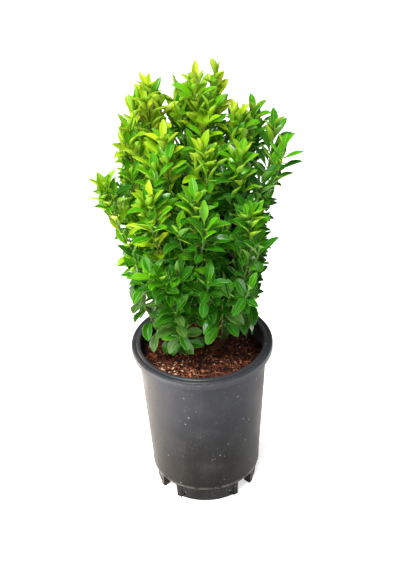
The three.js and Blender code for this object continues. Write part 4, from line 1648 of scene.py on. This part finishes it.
class Grower:
    """Sets out the leaves of each twig in crossed pairs and keeps them clear of each other."""

    def __init__(self, scene, shoots):
        self.pot = scene.spindle_pot
        self.soil = scene.spindle_soil
        self.leaves = scene.spindle_leaves
        self.room = Room(np.concatenate([shoot.path.places(LIMB_SHARES) for shoot in shoots]))

    def form(self, twig, root, age, stream):
        """What a leaf has before it is aimed: its size, bends and colour, and its angle and droop."""
        low = twig.shoot.low
        size = self.leaves.low_length if low else self.leaves.length
        length = size * np.interp(age, LEAF_AGES, LEAF_SIZES) * stream.uniform(*LENGTH_RANGE)
        width = self.leaves.width * mix(YOUNG_WIDTH, 1, age) * stream.uniform(*WIDTH_RANGE)
        wide = mix(GROWN_ANGLE, WIDE_ANGLE, share_past(-root[2], -WIDE_FROM, WIDE_OVER))
        angle = mix(TIP_ANGLE, wide, age**ANGLE_POWER) + stream.normal(0, ANGLE_VARIES)
        bend = mix(*BENDS, age) + stream.normal(0, BEND_VARIES)
        fold = mix(*FOLDS, min(1, age / GROWN_AGE)) + stream.normal(0, FOLD_VARIES)
        twist = stream.normal(0, TWIST_VARIES)
        droop = (DROOP + HANGING_DROOP * share_past(-root[2], -DROOP_FROM, DROOP_OVER)) * age
        if low:
            width *= LOW_WIDTH
            bend += LOW_BEND
            droop = LOW_DROOP + LOW_AGE_DROOP * age
        droop = max(0, droop + stream.normal(0, DROOP_VARIES))
        shape = {"length": length, "width": width, "bend": bend, "fold": fold, "twist": twist}
        shape["tint"] = leaf_tint(twig, root, age, stream)
        return shape, angle, droop

    def allows(self, places, own_reach):
        """Whether a leaf here clears the pot, leaves the potting mix in view and stays in the crown."""
        clears = above_pot(places, self.pot, self.soil) and shows_soil(places, self.pot)
        return clears and in_box(places) and in_crown(places[:INNER_SAMPLES], -TIP_BEYOND, own_reach)

    def fit(self, twig, root, along, out, age, stream):
        """The first try of a leaf that keeps well clear of the others, else the clearest try, or None."""
        shape, angle, droop = self.form(twig, root, age, stream)
        own_reach = 0 if twig.side else abs(root[0]) + OWN_REACH
        second = np.cross(along, out)
        best, best_clear = None, LEAST_CLEARANCE
        for spread, turn in TRIES:
            turned_out = math.cos(turn) * out + math.sin(turn) * second
            direction, normal = aim(along, turned_out, angle * spread, age, droop)
            leaf = Leaf(root, direction, normal, **shape)
            places = leaf_samples(leaf)
            if not self.allows(places, own_reach):
                continue
            clear = self.room.clearance(places)
            if clear > best_clear:
                best, best_clear = leaf, clear
            if clear > CLEARANCE:
                break
        if best:
            self.room.take(leaf_samples(best))
        return best

    def grow(self, twig, stream):
        """Sets out a twig's leaves, from its lowest pair to its tip, and ends the twig at its last leaf."""
        shares, ages = leaf_shares(twig)
        along, first, second = twig.path.frames(shares)
        roots = twig.path.places(shares)
        for pair, age in enumerate(ages):
            turn = math.pi / 4 + pair * math.pi / 2 + stream.normal(0, PAIR_VARIES)
            out = math.cos(turn) * first[pair] + math.sin(turn) * second[pair]
            for way in (1, -1):
                leaf = self.fit(twig, roots[pair], along[pair], out * way, age, stream)
                if leaf:
                    twig.leaves.append(leaf)
                    twig.end = min(1, shares[pair] + TWIG_BEYOND / twig.path.length)


class Stream:
    """A seeded stream of numbers for one twig, with the colour step that its spray shares."""

    def __init__(self, seed):
        source = np.random.default_rng(seed)
        self.spray = source.normal(0, SPRAY_VARIES)
        self.uniform = source.uniform
        self.normal = source.normal


def grow_leaves(scene, shoots, twigs):
    """Sets out the leaves of all twigs, leading stems first, and gives the twigs that carry any."""
    grower = Grower(scene, shoots)
    for i in sorted(range(len(twigs)), key=lambda i: twigs[i].side):
        grower.grow(twigs[i], Stream([twigs[i].shoot.seed, i]))
    leafy = [twig for twig in twigs if twig.leaves]
    for twig in leafy:
        if twig.side:
            twig.trunk.end = max(twig.trunk.end, twig.share)
    return leafy


def leaf_finishes(leaves):
    """Plain colours that are dealt out leaf by leaf: blades, then ribs, then undersides."""
    gloss = {"Specular IOR Level": 0.32}
    matt = {"Specular IOR Level": 0.2}
    finishes = plain_finishes("leaf", BLADE_TINTS, leaves.roughness, gloss)
    finishes += plain_finishes("leaf_rib", RIB_TINTS, roughness=0.5, constants=matt)
    finishes += plain_finishes("leaf_under", UNDER_TINTS, roughness=0.6, constants=matt)
    for finish in finishes:
        grain = finish.cloud(finish.place(), scale=1500, detail=2)
        finish.bump(grain, strength=0.10, distance=0.0003)
    return finishes


def join_leaves(name, leaves, finishes):
    """Leaves joined into one piece, each with its own tint."""
    faces = ring_faces(len(LEAF_ROWS), len(LEAF_COLUMNS))
    kinds = leaf_numbers()
    joined = Joined()
    for leaf in leaves:
        family = TINT_FAMILY[leaf.tint]
        rib = len(BLADE_TINTS) + family
        under = rib + len(RIB_TINTS)
        margin = rib if family else max(leaf.tint - 1, 0)
        by_kind = np.array([leaf.tint, rib, under, margin])
        joined.add(leaf_shape(leaf), faces, by_kind[kinds].tolist())
    return joined.piece(name, finishes)


class SPINDLE_OT_leaves(bpy.types.Operator):
    """Grows the leaves in crossed pairs along every twig"""

    bl_idname = "spindle.leaves"
    bl_label = "Grow the leaves"

    def execute(self, context):
        stems, leaders, shoots, twigs = grow(context.scene)
        finishes = leaf_finishes(context.scene.spindle_leaves)
        grown = {}
        for twig in grow_leaves(context.scene, shoots, twigs):
            grown.setdefault(twig.shoot.node, []).extend(twig.leaves)
        groups = {}
        for stem in stems:
            mine = [shoot for shoot in leaders if shoot.stem is stem]
            groups[f"leaves_{stem.node}_a"] = mine[::2]
            groups[f"leaves_{stem.node}_b"] = mine[1::2]
        groups["leaves_low"] = [shoot for shoot in shoots if shoot.low]
        for name, members in groups.items():
            leaves = [leaf for shoot in members for leaf in grown[shoot.node]]
            settle(join_leaves(name, leaves, finishes), "leaves", *[shoot.node for shoot in members])
        return {"FINISHED"}


# The stage

CAMERA_LENS = 69.5
CAMERA_SENSOR = 36
CAMERA_CLIP = 0.05
CAMERA_TARGET = Vector((0, 0, 0.2986))
CAMERA_DISTANCE = 1.353
CAMERA_ELEVATION = math.radians(33.35)
CAMERA_ROLL = math.radians(-2.1)
FLOOR_RADIUS = 12.0
FLOOR_CORNERS = 96
WHITE = (1, 1, 1, 1)

# The even lights: the place that each comes from, and how wide it is
WIDE_SUN = math.radians(34)
SMALL_SUN = math.radians(12)
SUNS = {
    "key": ((-0.55, -0.75, 1.5), WIDE_SUN),
    "gloss": ((-0.35, -0.9, 1.6), SMALL_SUN),
    "fill": ((0.8, -0.7, 1.4), WIDE_SUN),
    "side": ((-1.0, -0.5, 0.32), WIDE_SUN),
}

# The lamps low over the floor: place, target, share of the glow's power, and colour
GLOW_CONE = math.radians(80)
GLOW_SIZE = 0.04
WARM_LIGHT = (1, 0.82, 0.63)
WHITE_LIGHT = (1, 1, 1)
GLOWS = {
    "glow_left": ((-0.50, 0.26, 0.40), (-0.27, 0.12, 0), 2.4, WARM_LIGHT),
    "glow_right": ((0.36, 0.50, 0.36), (0.18, 0.26, 0), 0.2, WARM_LIGHT),
    "glow_front": ((-0.36, -0.28, 0.38), (-0.33, -0.26, 0), 2.0, WHITE_LIGHT),
}


def aimed(name, data, place, target):
    """A light that looks from a place at a target."""
    light = bpy.data.objects.new(name, data)
    light.location = place
    light.rotation_mode = "QUATERNION"
    light.rotation_quaternion = (Vector(target) - Vector(place)).to_track_quat("-Z", "Y")
    bpy.context.scene.collection.objects.link(light)


def soft_sun(name, place, strength, angle):
    """An even light that comes from the side of a place, softer the wider its angle is."""
    data = bpy.data.lights.new(name, "SUN")
    data.energy = strength
    data.angle = angle
    aimed(name, data, place, (0, 0, 0))


def floor_glow(name, place, target, power, colour):
    """A lamp low over the floor, whose patch of light shows in the pot's sheen."""
    data = bpy.data.lights.new(name, "SPOT")
    data.energy = power
    data.color = colour
    data.spot_size = GLOW_CONE
    data.spot_blend = 1.0
    data.shadow_soft_size = GLOW_SIZE
    aimed(name, data, place, target)


def make_sky(scene, strength):
    """An even white light from all sides."""
    world = bpy.data.worlds.new("sky")
    world.use_nodes = True
    background = world.node_tree.nodes["Background"]
    background.inputs["Color"].default_value = WHITE
    background.inputs["Strength"].default_value = strength
    scene.world = world


def make_camera(scene):
    """A camera at the photograph's angle, turned a little about its own axis."""
    data = bpy.data.cameras.new("camera")
    data.lens = CAMERA_LENS
    data.sensor_width = CAMERA_SENSOR
    data.clip_start = CAMERA_CLIP
    camera = bpy.data.objects.new("camera", data)
    back = Vector((0, -math.cos(CAMERA_ELEVATION), math.sin(CAMERA_ELEVATION)))
    right = Vector((1, 0, 0))
    up = back.cross(right)
    turned_right = math.cos(CAMERA_ROLL) * right + math.sin(CAMERA_ROLL) * up
    turned_up = -math.sin(CAMERA_ROLL) * right + math.cos(CAMERA_ROLL) * up
    matrix = Matrix((turned_right, turned_up, back)).transposed().to_4x4()
    matrix.translation = CAMERA_TARGET + back * CAMERA_DISTANCE
    camera.matrix_world = matrix
    scene.collection.objects.link(camera)
    scene.camera = camera


def make_floor(stage):
    """A plain pale floor."""
    constants = {"Specular IOR Level": 0.1, "Emission Color": WHITE, "Emission Strength": stage.shine}
    finish = Finish("floor", tuple(stage.floor), roughness=0.9, constants=constants)
    turns = np.arange(FLOOR_CORNERS) * FULL_TURN / FLOOR_CORNERS
    places = np.stack([FLOOR_RADIUS * np.cos(turns), FLOOR_RADIUS * np.sin(turns), 0 * turns], axis=-1)
    plain_piece("floor", (places, [tuple(range(FLOOR_CORNERS))]), finish)


class SPINDLE_OT_stage(bpy.types.Operator):
    """Sets up the floor, the soft light and the camera"""

    bl_idname = "spindle.stage"
    bl_label = "Set the stage"

    def execute(self, context):
        scene = context.scene
        stage = scene.spindle_stage
        scene.view_settings.view_transform = "Standard"
        make_sky(scene, stage.sky)
        for name, (place, angle) in SUNS.items():
            soft_sun(name, place, getattr(stage, name), angle)
        for name, (place, target, share, colour) in GLOWS.items():
            floor_glow(name, place, target, stage.glow * share, colour)
        make_floor(stage)
        make_camera(scene)
        return {"FINISHED"}


OPERATORS = [
    SPINDLE_OT_stage,
    SPINDLE_OT_pot,
    SPINDLE_OT_soil,
    SPINDLE_OT_wood,
    SPINDLE_OT_twigs,
    SPINDLE_OT_leaves,
]


class SPINDLE_PT_sidebar(bpy.types.Panel):
    """The steps that make the shrub, in order"""

    bl_idname = "SPINDLE_PT_sidebar"
    bl_label = "Potted spindle"
    bl_space_type = "VIEW_3D"
    bl_region_type = "UI"
    bl_category = "Spindle"

    def draw(self, context):
        for operator in OPERATORS:
            self.layout.operator(operator.bl_idname)


SETTINGS = {
    "spindle_pot": SpindlePot,
    "spindle_soil": SpindleSoil,
    "spindle_wood": SpindleWood,
    "spindle_leaves": SpindleLeaves,
    "spindle_stage": SpindleStage,
}


def register():
    """Makes the settings, the steps and the panel known."""
    for kind in [*SETTINGS.values(), *OPERATORS, SPINDLE_PT_sidebar]:
        bpy.utils.register_class(kind)
    for name, kind in SETTINGS.items():
        setattr(bpy.types.Scene, name, PointerProperty(type=kind))


def unregister():
    """Takes them away again."""
    for name in SETTINGS:
        delattr(bpy.types.Scene, name)
    for kind in [SPINDLE_PT_sidebar, *OPERATORS, *SETTINGS.values()]:
        bpy.utils.unregister_class(kind)


def main():
    """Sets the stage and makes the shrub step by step."""
    register()
    bpy.ops.spindle.stage()
    bpy.ops.spindle.pot()
    bpy.ops.spindle.soil()
    bpy.ops.spindle.wood()
    bpy.ops.spindle.twigs()
    bpy.ops.spindle.leaves()


if __name__ == "__main__":
    main()
